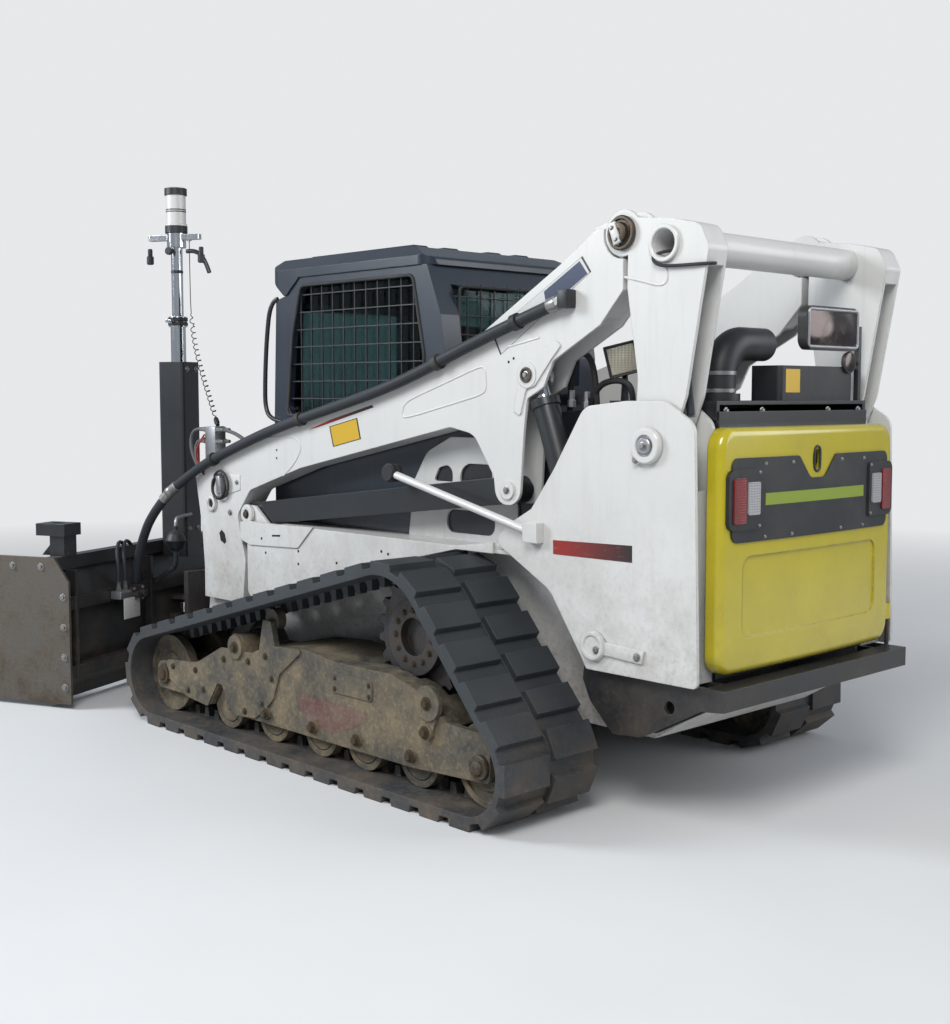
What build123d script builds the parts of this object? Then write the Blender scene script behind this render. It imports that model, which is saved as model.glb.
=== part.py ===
from build123d import *
import math
import os

# Compact track loader with a laser-levelled dozer blade. Millimetres.
# While the pieces are made, x runs forward from the rear end of the track's flat, y runs
# to the machine's left from its centre line and z runs up from the ground. At the end all
# pieces are shifted so that the origin lies under the middle of the whole machine.

# ---------------------------------------------------------------- tracks and track frames
TRACK_WIDTH = 450.0
TRACK_CENTRE = 775.0
LUG_HEIGHT = 25.0
BAND_THICKNESS = 25.0
LUG_PITCH = 150.0
LUG_LENGTH = 108.0
LUG_TAPER = 7.0
GUIDE_PITCH = 75.0
GUIDE_HEIGHT = 38.0
GUIDE_WIDTH = 35.0
TRACK_GROOVE = 26.0
# wheels that shape the loop: x, z, radius at the lugs' tips
FRONT_IDLER = (1959.0, 218.0, 218.0)
SPROCKET = (389.0, 573.0, 290.0)
REAR_IDLER = (-53.0, 200.0, 200.0)
LOOP_WHEELS = (FRONT_IDLER, SPROCKET, REAR_IDLER)
SPROCKET_TEETH = 20
SPROCKET_WIDTH = 50.0
TOOTH_GAP = 5.0
TOOTH_DEPTH = 28.0
ROLLER_X = (1500.0, 1180.0, 870.0, 600.0, 296.0)
ROLLER_RADIUS = 104.0
ROLLER_HUB = 58.0
AXLE_RADIUS = 25.0
WHEEL_GAP = 1.0
FRAME_INNER = TRACK_CENTRE - 175.0
FRAME_OUTER = TRACK_CENTRE + 155.0
SKIRT = 30.0
COVER_PROUD = 8.0
# discs of a wheel: inner side, outer side, from the track's centre
WHEEL_DISCS = ((-135.0, -75.0), (75.0, 115.0))
TUNNEL_TOP = 274.0
MOTOR_RADIUS = 118.0
TORSION_RADIUS = 62.0
# torsion tubes: x, z
TORSION_TUBES = ((264.0, 356.0), (1300.0, 352.0))
CARRIER = (1180.0, 548.0, 44.0)
# side views, columns: x, z, corner radius
BEAM_SIDE = (
    (2022, 150, 30), (2022, 268, 40), (1690, 300, 60), (1480, 390, 50), (1270, 396, 40),
    (1160, 446, 40), (930, 464, 30), (731, 444, 60), (410, 446, 60), (277, 412, 60),
    (117, 320, 60), (-79, 314, 20), (-98, 260, 20), (-98, 150, 20), (300, 128, 20),
    (1500, 128, 20), (1700, 150, 60),
)
FRONT_COVER_SIDE = (
    (1929, 286, 20), (1691, 305, 60), (1500, 397, 50), (1276, 403, 40), (1168, 449, 30),
    (925, 464, 10), (1087, 344, 30), (1130, 238, 30), (1195, 178, 10), (1260, 138, 10),
    (1400, 126, 10), (1460, 160, 10), (1498, 240, 14), (1532, 240, 14), (1590, 160, 10),
    (1612, 130, 10), (1782, 146, 30), (1944, 214, 12),
)
ACCESS_PLATE_SIDE = ((515, 328, 14), (751, 328, 14), (751, 402, 14), (515, 402, 14))

# ---------------------------------------------------------------- chassis
TUB_HALF = 455.0
TUB_WALL = 14.0
TUB_BOTTOM = 285.0
TUB_TOP = 885.0
TUB_REAR = -640.0
TUB_FRONT = 1790.0
SHELF_THICKNESS = 14.0
SHELF_END = 1560.0
UPRIGHT_IN = TUB_HALF
UPRIGHT_INNER_WALL = 15.0
UPRIGHT_OUT = UPRIGHT_IN + 142.0
UPRIGHT_OUTER_WALL = 12.0
REAR_HALF = UPRIGHT_OUT - 37.0
LINKAGE_Y = (UPRIGHT_IN + UPRIGHT_INNER_WALL + UPRIGHT_OUT - UPRIGHT_OUTER_WALL) / 2
BUMPER_TOP = 516.0
TIE_DOWN = (-560.0, 430.0)
TIE_RADIUS = 22.0
ENGINE_BOTTOM = 375.0
ENGINE_FEET_X = (-330.0, 320.0)
ENGINE_FOOT_Y = 240.0
ENGINE_HALF = TUB_HALF - 125.0
ENGINE_TOP = 1180.0
# side views, columns: x, z, corner radius
UPRIGHT_OUTER_SIDE = (
    (-700, 516, 20), (-676, 1352, 60), (-560, 1424, 90), (-400, 1424, 90), (-215, 1405, 70),
    (-76, 1186, 260), (30, 1045, 0), (140, 985, 0), (218, 917, 30), (130, 872, 30),
    (-61, 767, 120), (-210, 552, 60), (-232, 516, 10),
)
UPRIGHT_INNER_SIDE = (
    (-652, 516, 0), (-652, 1352, 60), (-560, 1424, 90), (-400, 1424, 90), (-230, 1380, 70),
    (-160, 1100, 0), (-160, 516, 0),
)
UPRIGHT_WALL_SIDE = ((-652, 516, 0), (-652, 1140, 0), (-640, 1140, 0), (-640, 516, 0))
BUMPER_SIDE = (
    (-190, BUMPER_TOP, 0), (-185, 470, 0), (-218, 400, 20), (-319, 300, 30), (-441, 309, 30),
    (-684, 438, 20), (-778, 448, 14), (-778, BUMPER_TOP, 14),
)
FENDER_SIDE = (
    (222, TUB_TOP - SHELF_THICKNESS, 0), (222, TUB_TOP + 26, 0), (420, TUB_TOP, 60),
    (TUB_FRONT, TUB_TOP, 0), (TUB_FRONT, 540, 40), (1640, 556, 30), (800, 786, 60),
    (420, TUB_TOP - SHELF_THICKNESS, 30),
)
FRONT_SHELF_SIDE = ((1836, 800, 20), (1836, 880, 10), (1296, 890, 0), (1405, 794, 20), (1760, 780, 20))
# white plate beside the engine cover, behind the control link
CHEEK_SIDE = (
    (235, TUB_TOP, 0), (235, 1040, 60), (345, 1225, 60), (440, 1282, 60), (600, 1282, 60),
    (740, 1220, 90), (820, 1100, 90), (850, TUB_TOP, 0),
)
CHEEK_ARCHES = (
    ((372, 1108, 8), (372, 1182, 30), (548, 1182, 60), (548, 1108, 8)),
    ((590, 1108, 8), (590, 1182, 36), (670, 1160, 20), (700, 1108, 8)),
    ((356, 912, 40), (356, 1002, 40), (624, 1002, 40), (624, 912, 40)),
)

# ---------------------------------------------------------------- lift linkage
# pin centres at rest: x, z
PIN_CONTROL_FRONT = (1807.0, 913.0)
PIN_LINK_FOOT = (-493.0, 1280.0)
PIN_CONTROL_REAR = (162.0, 1104.0)
PIN_LINK_HEAD = (-363.0, 1967.0)
PIN_LIFT_ROD = (65.0, 1513.0)
PIN_LIFT_BASE = (-270.0, 601.0)
PIN_COUPLER = (2200.0, 250.0)
PIN_TILT_TOP = (1960.0, 900.0)
PIN_TILT_FOOT = (2310.0, 440.0)
ARM_IN = TUB_HALF + 5.0
ARM_OUT = ARM_IN + 120.0
ARM_PLATE = 12.0
LEG_IN = ARM_IN - 20.0
LEG_OUT = TRACK_CENTRE - TRACK_WIDTH / 2 - 10.0
LEG_STEP_Z = 505.0
LINK_IN = UPRIGHT_IN + UPRIGHT_INNER_WALL + 8.0
LINK_OUT = UPRIGHT_OUT - UPRIGHT_OUTER_WALL - 7.0
LINK_CHEEK = 12.0
HEAD_RADIUS = 75.0
HUB_RADIUS = 62.0
PIN_RADIUS = 30.0
RUNNING = 0.06
SIDE_GAP = 5.0
CROSS_TUBE = (-536.0, 1921.0, 56.0)
CONTROL_IN = LINKAGE_Y - 26.0
CONTROL_OUT = LINKAGE_Y + 26.0
CONTROL_DEPTH = 100.0
TILT_Y = ARM_IN - 80.0
TILT_BARREL = 36.0
TILT_BARREL_LENGTH = 330.0
TILT_ROD_LENGTH = 420.0
TILT_PIN = 22.0
TILT_ROD = 20.0
CROSS_MEMBER = (2010.0, 420.0, 68.0)
LIFT_Y = LINKAGE_Y
LIFT_BARREL = 47.0
LIFT_ROD = 28.0
LIFT_EYE = 50.0
# side views, columns: x, z, corner radius
LINK_SIDE = (
    (-707, 1900, 30), (-672, 1972, 50), (-560, 1998, 20), (-420, 2012, 0), (-385, 1960, 0),
    (-382, 1790, 20), (-430, 1500, 120), (-421, 1280, 0), (-565, 1280, 0), (-626, 1440, 60),
)
LINK_CHANNEL = ((-770, 1845, 0), (-500, 1845, 30), (-505, 1500, 30), (-540, 1372, 10), (-770, 1372, 0))
ARM_TOP = (
    (-280, 2010, 60), (-85, 1883, 0), (308, 1660, 300), (877, 1482, 300), (1554, 1314, 200),
    (1900, 1212, 200), (2160, 1150, 60), (2236, 1075, 40),
)
ARM_FRONT = (
    (2185, 830, 200), (2168, 650, 100), (2168, LEG_STEP_Z, 0), (1856, LEG_STEP_Z, 0),
    (1830, 704, 60), (1872, 836, 60), (1890, 905, 40), (1788, 1022, 60),
)
ARM_PLATE_REAR = (
    (1413, 1134, 200), (469, 1324, 60), (340, 1300, 80), (235, 1150, 60), (222, 1050, 60),
    (104, 1050, 60), (84, 1320, 0), (69, 1430, 20), (-10, 1470, 10), (-55, 1560, 20),
    (-267, 1674, 0), (-366, 1784, 10), (-366, 1900, 0),
)
ARM_CORE_REAR = (
    (1413, 1134, 200), (469, 1324, 0), (300, 1430, 0), (170, 1660, 0), (-110, 1660, 0),
    (-267, 1700, 0), (-366, 1784, 10), (-366, 1900, 0),
)
ARM_LEG = (
    (2180, 780, 0), (2168, 640, 80), (2215, 330, 0), (2200, 250, 0), (2060, 300, 60),
    (1862, 480, 60), (1850, 780, 0),
)
# bent plate welded round the lift rod's pin
ARM_BOSS = (
    (-97, 1612, 10), (-52, 1566, 20), (28, 1474, 30), (70, 1462, 20), (98, 1368, 10),
    (130, 1386, 10), (108, 1490, 40), (84, 1556, 40), (30, 1574, 40), (-70, 1632, 10),
)

# ---------------------------------------------------------------- cab and engine cover
CAB_HALF = TUB_HALF - 15.0
CAB_WALL = 42.0
CAB_REAR = 690.0
CAB_FRONT = 1790.0
CAB_FLOOR = TUB_TOP
CAB_TOP = 1955.0
ROOF_TOP = 2035.0
SCREEN_BAR = 5.0
SCREEN_PITCH = 75.0
GLASS = 6.0
DOOR_GAP = 12.0
DOOR_DEPTH = 30.0
DOOR_HALF = CAB_HALF - 68.0
DOOR_HINGE_Y = DOOR_HALF + 8.0
HINGE_LENGTH = 80.0
HINGE_PIN = 6.0
DOOR_RAIL = 54.0
DOOR_LOW = 990.0
DOOR_HIGH = 1900.0
COVER_HALF = TUB_HALF - 9.0
COVER_REAR = -650.0
COVER_TOP = 1400.0
COVER_WALL = 12.0
SEAT_X = 980.0
SEAT_HALF = 230.0
SEAT_Z = 1120.0
LAMP_X = -205.0
LAMP_Z = 1556.0
LAMP_SIZE = 150.0
REAR_WINDOW_HALF = CAB_HALF - 100.0
REAR_WINDOW_Z = (1480.0, 1880.0)
# side views, columns: x, z, corner radius
CAB_SIDE = (
    (CAB_REAR, CAB_FLOOR, 0), (CAB_REAR, 1400, 20), (652, 1445, 30), (652, 1600, 0),
    (676, 1756, 0), (755, CAB_TOP, 0), (1590, CAB_TOP, 0), (1680, 1884, 0), (1768, 1862, 20),
    (CAB_FRONT, 1353, 0), (CAB_FRONT, CAB_FLOOR, 0),
)
SIDE_WINDOW = (
    (800, 1370, 50), (770, 1595, 0), (838, 1918, 60), (1585, 1918, 60), (1650, 1700, 0), (1690, 1353, 50),
)
ROOF_SIDE = (
    (742, CAB_TOP, 0), (748, 1985, 20), (862, ROOF_TOP, 60), (1770, 2047, 40), (1812, 2000, 30),
    (1778, 1942, 30), (1700, 1880, 0), (1672, 1872, 0), (1580, CAB_TOP, 0),
)

# ---------------------------------------------------------------- rear end
TAILGATE_FRONT = -668.0
TAILGATE_REAR = -738.0
TAILGATE_HALF = REAR_HALF - 40.0
TAILGATE_BOW = 9600.0
TAILGATE_LOW = 545.0
TAILGATE_HIGH = 1340.0
TAILGATE_WALL = 16.0
TAIL_HINGE = (-705.0, -REAR_HALF + 12.0)
PANEL_HALF = TAILGATE_HALF - 48.0
LAMP_INNER = 345.0
LAMP_OUTER = 492.0

# ---------------------------------------------------------------- coupler, blade and mast
COUPLER_BACK = 2352.0
COUPLER_THICKNESS = 36.0
COUPLER_HALF = LEG_OUT + 20.0
COUPLER_LOW = 175.0
COUPLER_HIGH = 600.0
BLADE_ANGLE = 25.0
BLADE_PIVOT = 2930.0
BLADE_SETBACK = 180.0
BLADE_HALF = 1200.0
BLADE_LOW = 18.0
BLADE_HIGH = 700.0
BLADE_SKIN = 14.0
BLADE_SAG = 70.0
FRAME_PLATE = 30.0
ANGLE_PIN_X = 2466.0
ANGLE_PIN_Y = 300.0
ANGLE_Z = 350.0
ANGLE_LUG = 30.0
ANGLE_BARREL_LENGTH = 318.0
ANGLE_ROD_LENGTH = 330.0
ANGLE_ROD = 18.0
END_PLATE = 14.0
END_FORWARD = 520.0
END_BACK = 70.0
TOP_BAR = 62.0
MAST_OFFSET = 300.0
MAST_SOCKET = 30.0
MAST_LEDGE = 56.0
MAST_HOUSING = 150.0
MAST_HOUSING_TOP = 1612.0
MAST_TUBE = 38.0
MAST_UPPER = 29.0
RECEIVER_RADIUS = 55.0
RECEIVER_Z = (2262.0, 2486.0)
MAST_BRACKET = (-140.0, 160.0)
# sections of the sliding mast: lower z, upper z, radius
MAST_SECTIONS = ((900, 1842, MAST_TUBE), (1790, 1842, 46), (1842, 2190, MAST_UPPER), (2190, 2262, 48))

# ---------------------------------------------------------------- hoses and cords
# routes as x, y, z from one end to the other
HOSE_RADIUS = 22.0
ARM_HOSE_Y = ARM_OUT + 26
ARM_HOSE = (
    (-90, ARM_HOSE_Y, 1752), (284, ARM_HOSE_Y + 1, 1643), (734, ARM_HOSE_Y, 1486),
    (1181, ARM_HOSE_Y + 1, 1385), (1560, ARM_HOSE_Y, 1300), (1900, ARM_HOSE_Y + 1, 1198),
    (2183, ARM_HOSE_Y, 1104), (2390, ARM_HOSE_Y + 1, 992),
)
BLADE_HOSE = ((2335, 675, 980), (2470, 677, 880), (2575, 676, 735), (2640, 670, 606), (2663, 662, 530))
MAST_CORD_RADIUS = 16.0
MAST_CORD = (
    (2774, 258, 2222), (2767, 262, 2040), (2755, 268, 1860), (2670, 300, 1694), (2541, 340, 1543),
    (2418, 375, 1419), (2327, 405, 1331),
)
LINK_HOSE_RADIUS = 13.0
LINK_HOSE_Y = LINKAGE_Y + 0.5
LINK_HOSE = (
    (-606, LINK_HOSE_Y, 1836), (-590, LINK_HOSE_Y - 4, 1715), (-578, LINK_HOSE_Y + 1, 1590),
    (-592, LINK_HOSE_Y - 4, 1470), (-608, LINK_HOSE_Y, 1380),
)


def side_face(rows):
    """Closed face from rows of x, z (or y, z in a rear view) and corner radius."""
    points = [(x, z) for x, z, radius in rows]
    radii = [radius for x, z, radius in rows]
    return make_face(FilletPolyline(*points, radius=radii, close=True))


def across(face, y_in, y_out):
    """Give a side-view face its width, from y_in to y_out."""
    return extrude(Plane.XZ.offset(-y_out) * face, y_out - y_in, dir=(0, -1, 0))


def disc(x, z, radius, y_in, y_out):
    """Round bar across the machine."""
    return across(Pos(x, z) * Circle(radius), y_in, y_out)


def ring(x, z, radius, bore, y_in, y_out):
    """Tube across the machine."""
    return across(Pos(x, z) * (Circle(radius) - Circle(bore)), y_in, y_out)


def block(x_low, x_high, y_low, y_high, z_low, z_high):
    """Box from its six limits."""
    middle = ((x_low + x_high) / 2, (y_low + y_high) / 2, (z_low + z_high) / 2)
    return Pos(*middle) * Box(x_high - x_low, y_high - y_low, z_high - z_low)


def mirrored(part):
    """The same piece on the machine's right."""
    return mirror(part, about=Plane.XZ)


def both(part):
    """The piece and its mirror image, as separate solids of one node."""
    return Compound(children=part.solids() + mirrored(part).solids())


def rod_between(start, end, radius):
    """Round bar from one point in space to another."""
    path = Vector(*end) - Vector(*start)
    plane = Plane(origin=start, z_dir=path)
    return extrude(plane * Circle(radius), path.length)


# ================================================================ tracks
def tangent_angles(wheels):
    """For each wheel, the angle of the belt's normal where it leaves for the next one."""
    angles = []
    for index, (x, z, radius) in enumerate(wheels):
        next_x, next_z, next_radius = wheels[(index + 1) % len(wheels)]
        heading = math.atan2(next_z - z, next_x - x)
        apart = math.hypot(next_x - x, next_z - z)
        angles.append(heading - math.acos((radius - next_radius) / apart))
    return angles


def belt_face(wheels, growth):
    """Face inside a belt that runs round the wheels, growth beyond their radii."""
    leaving = tangent_angles(wheels)
    edges = []
    for index, (x, z, radius) in enumerate(wheels):
        arriving = leaving[index - 1]
        turn = (leaving[index] - arriving) % (2 * math.pi)
        edges.append(CenterArc((x, z), radius + growth, math.degrees(arriving), math.degrees(turn)))
    lines = []
    for index, arc in enumerate(edges):
        following = edges[(index + 1) % len(edges)]
        lines.append(Line(arc @ 1, following @ 0))
    return make_face(edges + lines)


def belt_points(wheels, growth):
    """Belt as stretches: start point, end point, wheel centre or None, turn, start angle."""
    leaving = tangent_angles(wheels)
    stretches = []
    for index, (x, z, radius) in enumerate(wheels):
        reach = radius + growth
        arriving = leaving[index - 1]
        turn = (leaving[index] - arriving) % (2 * math.pi)
        stretches.append(("arc", reach * turn, (x, z), reach, arriving))
        next_x, next_z, next_radius = wheels[(index + 1) % len(wheels)]
        normal = (math.cos(leaving[index]), math.sin(leaving[index]))
        start = (x + reach * normal[0], z + reach * normal[1])
        far = next_radius + growth
        end = (next_x + far * normal[0], next_z + far * normal[1])
        stretches.append(("run", math.dist(start, end), start, end, leaving[index]))
    return stretches


def point_on_belt(stretches, travel, height):
    """Point that lies height outside the belt, after travel along it."""
    total = sum(stretch[1] for stretch in stretches)
    travel = travel % total
    for kind, length, first, second, angle in stretches:
        if travel <= length:
            break
        travel -= length
    if kind == "arc":
        angle = angle + travel / second
        return (first[0] + (second + height) * math.cos(angle),
                first[1] + (second + height) * math.sin(angle))
    share = travel / length
    return (first[0] + share * (second[0] - first[0]) + height * math.cos(angle),
            first[1] + share * (second[1] - first[1]) + height * math.sin(angle))


def toothed_face(wheels, growth, height, pitch, tooth, taper, phase):
    """Face inside a belt with teeth of the given height, which is negative for inner teeth."""
    stretches = belt_points(wheels, growth)
    total = sum(stretch[1] for stretch in stretches)
    count = round(total / pitch)
    step = total / count
    points = []
    for number in range(count):
        start = (number + phase) * step
        points.append(point_on_belt(stretches, start, 0))
        points.append(point_on_belt(stretches, start + taper, height))
        points.append(point_on_belt(stretches, start + tooth - taper, height))
        points.append(point_on_belt(stretches, start + tooth, 0))
    return make_face(Polyline(*points, close=True))


def make_track():
    """One rubber track: a band, two staggered columns of lugs and a row of guide lugs."""
    inside = belt_face(LOOP_WHEELS, -LUG_HEIGHT - BAND_THICKNESS)
    band = belt_face(LOOP_WHEELS, -LUG_HEIGHT) - inside
    low = TRACK_CENTRE - TRACK_WIDTH / 2
    high = TRACK_CENTRE + TRACK_WIDTH / 2
    # columns of lugs: inner side, outer side, phase in pitches
    columns = ((low, TRACK_CENTRE - TRACK_GROOVE / 2, 0.0), (TRACK_CENTRE + TRACK_GROOVE / 2, high, 0.5))
    track = across(band, TRACK_CENTRE - TRACK_GROOVE / 2, TRACK_CENTRE + TRACK_GROOVE / 2)
    for y_in, y_out, phase in columns:
        tread = toothed_face(LOOP_WHEELS, -LUG_HEIGHT, LUG_HEIGHT, LUG_PITCH, LUG_LENGTH, LUG_TAPER, phase)
        track += across(tread - inside, y_in, y_out)
    guide_y = TRACK_CENTRE + SPROCKET_WIDTH / 2 + 10
    guides = inside - toothed_face(LOOP_WHEELS, -LUG_HEIGHT - BAND_THICKNESS - 0.5, -GUIDE_HEIGHT,
                                   GUIDE_PITCH, GUIDE_PITCH / 2, LUG_TAPER, 0.0)
    track += across(guides, guide_y, guide_y + GUIDE_WIDTH)
    return track


def make_sprocket():
    """Toothed drive wheel on its hub."""
    x, z, tip = SPROCKET
    outer = tip - LUG_HEIGHT - BAND_THICKNESS - TOOTH_GAP
    root = outer - TOOTH_DEPTH
    points = []
    step = 2 * math.pi / SPROCKET_TEETH
    # one tooth: share of the step, radius
    profile = ((0.00, root), (0.28, root), (0.42, outer), (0.70, outer), (0.86, root))
    for number in range(SPROCKET_TEETH):
        for share, radius in profile:
            angle = (number + share) * step
            points.append((x + radius * math.cos(angle), z + radius * math.sin(angle)))
    low = TRACK_CENTRE - SPROCKET_WIDTH / 2
    high = TRACK_CENTRE + SPROCKET_WIDTH / 2
    wheel = across(make_face(Polyline(*points, close=True)), low, high)
    wheel += ring(x, z, MOTOR_RADIUS + 22, 70, high, high + 34)
    return wheel


def make_wheel(x, z, radius, hub, axle):
    """Roller or idler: two discs on a hub, on an axle between the frame's skirts."""
    wheel = disc(x, z, axle, FRAME_INNER + SKIRT, FRAME_OUTER - SKIRT - 3)
    wheel += disc(x, z, hub, TRACK_CENTRE - 76, TRACK_CENTRE + 76)
    for from_centre, to_centre in WHEEL_DISCS:
        y_in = TRACK_CENTRE + from_centre
        y_out = TRACK_CENTRE + to_centre
        wheel += disc(x, z, radius, y_in, y_out)
        wheel -= ring(x, z, radius - 24, hub + 18, y_in - 1, y_in + 9)
        wheel -= ring(x, z, radius - 24, hub + 18, y_out - 9, y_out + 1)
    return wheel


def make_rollers():
    """The five bottom rollers and the carrier roller of the left track."""
    parts = []
    for x in ROLLER_X:
        z = LUG_HEIGHT + BAND_THICKNESS + ROLLER_RADIUS + WHEEL_GAP
        parts += make_wheel(x, z, ROLLER_RADIUS, ROLLER_HUB, AXLE_RADIUS).solids()
    x, z, radius = CARRIER
    parts += disc(x, z, radius, FRAME_OUTER - 74, FRAME_OUTER - 34).solids()
    return Compound(children=parts)


def make_idlers():
    """Front and rear idler of the left track."""
    parts = []
    for x, z, tip in (FRONT_IDLER, REAR_IDLER):
        radius = tip - LUG_HEIGHT - BAND_THICKNESS - WHEEL_GAP
        parts += make_wheel(x, z, radius, 70, AXLE_RADIUS + 8).solids()
    return Compound(children=parts)


def make_track_frame():
    """Box beam with skirts that carries the rollers and idlers, with its covers and levers."""
    face = FRAME_OUTER - COVER_PROUD
    frame = across(side_face(BEAM_SIDE), FRAME_INNER, face)
    frame += across(side_face(FRONT_COVER_SIDE), face - 1, FRAME_OUTER)
    frame += across(side_face(ACCESS_PLATE_SIDE), face - 1, face + 5)
    frame -= block(REAR_IDLER[0] - 250, FRONT_IDLER[0] + 250, FRAME_INNER + SKIRT,
                   FRAME_OUTER - SKIRT - 3, 0, TUNNEL_TOP)
    for x, z, tip in (FRONT_IDLER, REAR_IDLER):
        frame -= disc(x, z, tip - 30, FRAME_INNER + SKIRT, FRAME_OUTER - SKIRT - 3)
    # an inverted notch in the outer skirt shows the front roller
    notch = side_face(((1404, 100, 0), (1468, 164, 10), (1504, 236, 12), (1526, 236, 12), (1584, 164, 10),
                       (1612, 100, 0)))
    frame -= across(notch, FRAME_OUTER - SKIRT - 4, FRAME_OUTER + 1)
    x, z, radius = CARRIER
    bracket = side_face(((x - 60, 420, 0), (x - 26, z, 10), (x + 26, z, 10), (x + 60, 400, 0)))
    frame += across(bracket, FRAME_OUTER - 34, face)
    # axle nuts of the rollers
    for x in ROLLER_X[1:]:
        frame += disc(x, 172, AXLE_RADIUS, face - 1, face + 12)
    # end of the rear torsion tube with its lever
    x, z = TORSION_TUBES[0]
    frame += disc(x - 69, z + 23, TORSION_RADIUS, face - 1, FRAME_OUTER + 14)
    frame += disc(x - 60, z - 81, 30, face - 1, FRAME_OUTER + 14)
    lever = side_face(((x - 120, z + 10, 0), (x - 88, z - 84, 0), (x - 32, z - 84, 0), (x - 14, z + 4, 0)))
    frame += across(lever, face - 1, FRAME_OUTER + 6)
    # forked casting on the front torsion tube
    x, z = TORSION_TUBES[1]
    frame += disc(x + 85, z + 62, TORSION_RADIUS - 12, FRAME_OUTER - 90, FRAME_OUTER + 10)
    fork = side_face(((x + 20, z + 20, 0), (x + 50, z + 112, 20), (x + 118, z + 116, 20),
                      (x + 160, z + 30, 0)))
    frame += across(fork, FRAME_OUTER - 70, FRAME_OUTER - 6)
    # slot round the lower part of the sprocket
    x, z, tip = SPROCKET
    low = TRACK_CENTRE - SPROCKET_WIDTH / 2
    high = TRACK_CENTRE + SPROCKET_WIDTH / 2
    frame -= disc(x, z, tip - 40, low - 9, high + 9)
    frame -= disc(x, z, MOTOR_RADIUS + 34, FRAME_INNER - 1, high + 44)
    return frame


def make_drive_motor():
    """Final drive housing between the chassis and the sprocket."""
    x, z, tip = SPROCKET
    face = TRACK_CENTRE - SPROCKET_WIDTH / 2
    motor = disc(x, z, MOTOR_RADIUS, TUB_HALF, face - 40)
    motor += disc(x, z, MOTOR_RADIUS + 22, face - 40, face)
    return motor


# ================================================================ chassis
def make_main_frame():
    """Welded tub between the tracks with its side shelves over the tracks."""
    outline = (
        (TUB_REAR, 420, 0), (-420, TUB_BOTTOM, 0), (1620, TUB_BOTTOM, 0), (TUB_FRONT, 470, 0),
        (TUB_FRONT, TUB_TOP, 0), (TUB_REAR, TUB_TOP, 0),
    )
    tub = across(side_face(outline), -TUB_HALF, TUB_HALF)
    inner = (
        (TUB_REAR - 1, 420 + TUB_WALL, 0), (-416, TUB_BOTTOM + TUB_WALL, 0),
        (1614, TUB_BOTTOM + TUB_WALL, 0), (TUB_FRONT - TUB_WALL, 476, 0),
        (TUB_FRONT - TUB_WALL, TUB_TOP + 1, 0), (TUB_REAR - 1, TUB_TOP + 1, 0),
    )
    tub -= across(side_face(inner), TUB_WALL - TUB_HALF, TUB_HALF - TUB_WALL)
    # a cross wall between the engine bay and the floor under the cab
    tub += block(CAB_REAR, CAB_REAR + TUB_WALL, TUB_WALL - TUB_HALF, TUB_HALF - TUB_WALL,
                 TUB_BOTTOM + TUB_WALL, TUB_TOP)
    shelf_low = TUB_TOP - SHELF_THICKNESS
    outer_in = UPRIGHT_OUT - UPRIGHT_OUTER_WALL
    side = across(side_face(FENDER_SIDE), outer_in, UPRIGHT_OUT)
    side += across(side_face(FRONT_SHELF_SIDE), UPRIGHT_OUT - 1, UPRIGHT_OUT + 6)
    side += block(0, SHELF_END, TUB_HALF, outer_in, shelf_low, TUB_TOP)
    # cheek plate beside the engine cover
    cheek = side_face(CHEEK_SIDE)
    for rows in CHEEK_ARCHES:
        cheek -= side_face(rows)
    side += across(cheek, COVER_HALF, TUB_HALF)
    # ears of the control link's front pin
    x, z = PIN_CONTROL_FRONT
    ear = side_face(((x - 250, TUB_TOP - 80, 0), (x - 45, z + 40, 40), (x + 36, z + 40, 36),
                     (x + 36, TUB_TOP - 80, 0)))
    side += block(x - 250, TUB_FRONT, TUB_HALF, UPRIGHT_OUT - UPRIGHT_OUTER_WALL,
                  TUB_TOP - 80 - SHELF_THICKNESS, TUB_TOP - 80)
    side += block(SHELF_END - SHELF_THICKNESS, SHELF_END, TUB_HALF, UPRIGHT_OUT - UPRIGHT_OUTER_WALL,
                  TUB_TOP - 80 - SHELF_THICKNESS, TUB_TOP)
    for y_in, y_out in ((CONTROL_IN - SIDE_GAP - 14, CONTROL_IN - SIDE_GAP),
                        (CONTROL_OUT + SIDE_GAP, CONTROL_OUT + SIDE_GAP + 14)):
        side += across(ear, y_in, y_out)
    side += disc(x, z, PIN_RADIUS, CONTROL_IN - SIDE_GAP - 14, CONTROL_OUT + SIDE_GAP + 20)
    for tube_x, tube_z in TORSION_TUBES:
        side += disc(tube_x, tube_z, TORSION_RADIUS, TUB_HALF, FRAME_INNER)
    tub = tub + side + mirrored(side)
    # feet of the engine
    for foot_x in ENGINE_FEET_X:
        for foot_y in (-ENGINE_FOOT_Y, ENGINE_FOOT_Y):
            tub += block(foot_x - 50, foot_x + 50, foot_y - 40, foot_y + 40,
                         TUB_BOTTOM + TUB_WALL, ENGINE_BOTTOM)
    return tub


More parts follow.
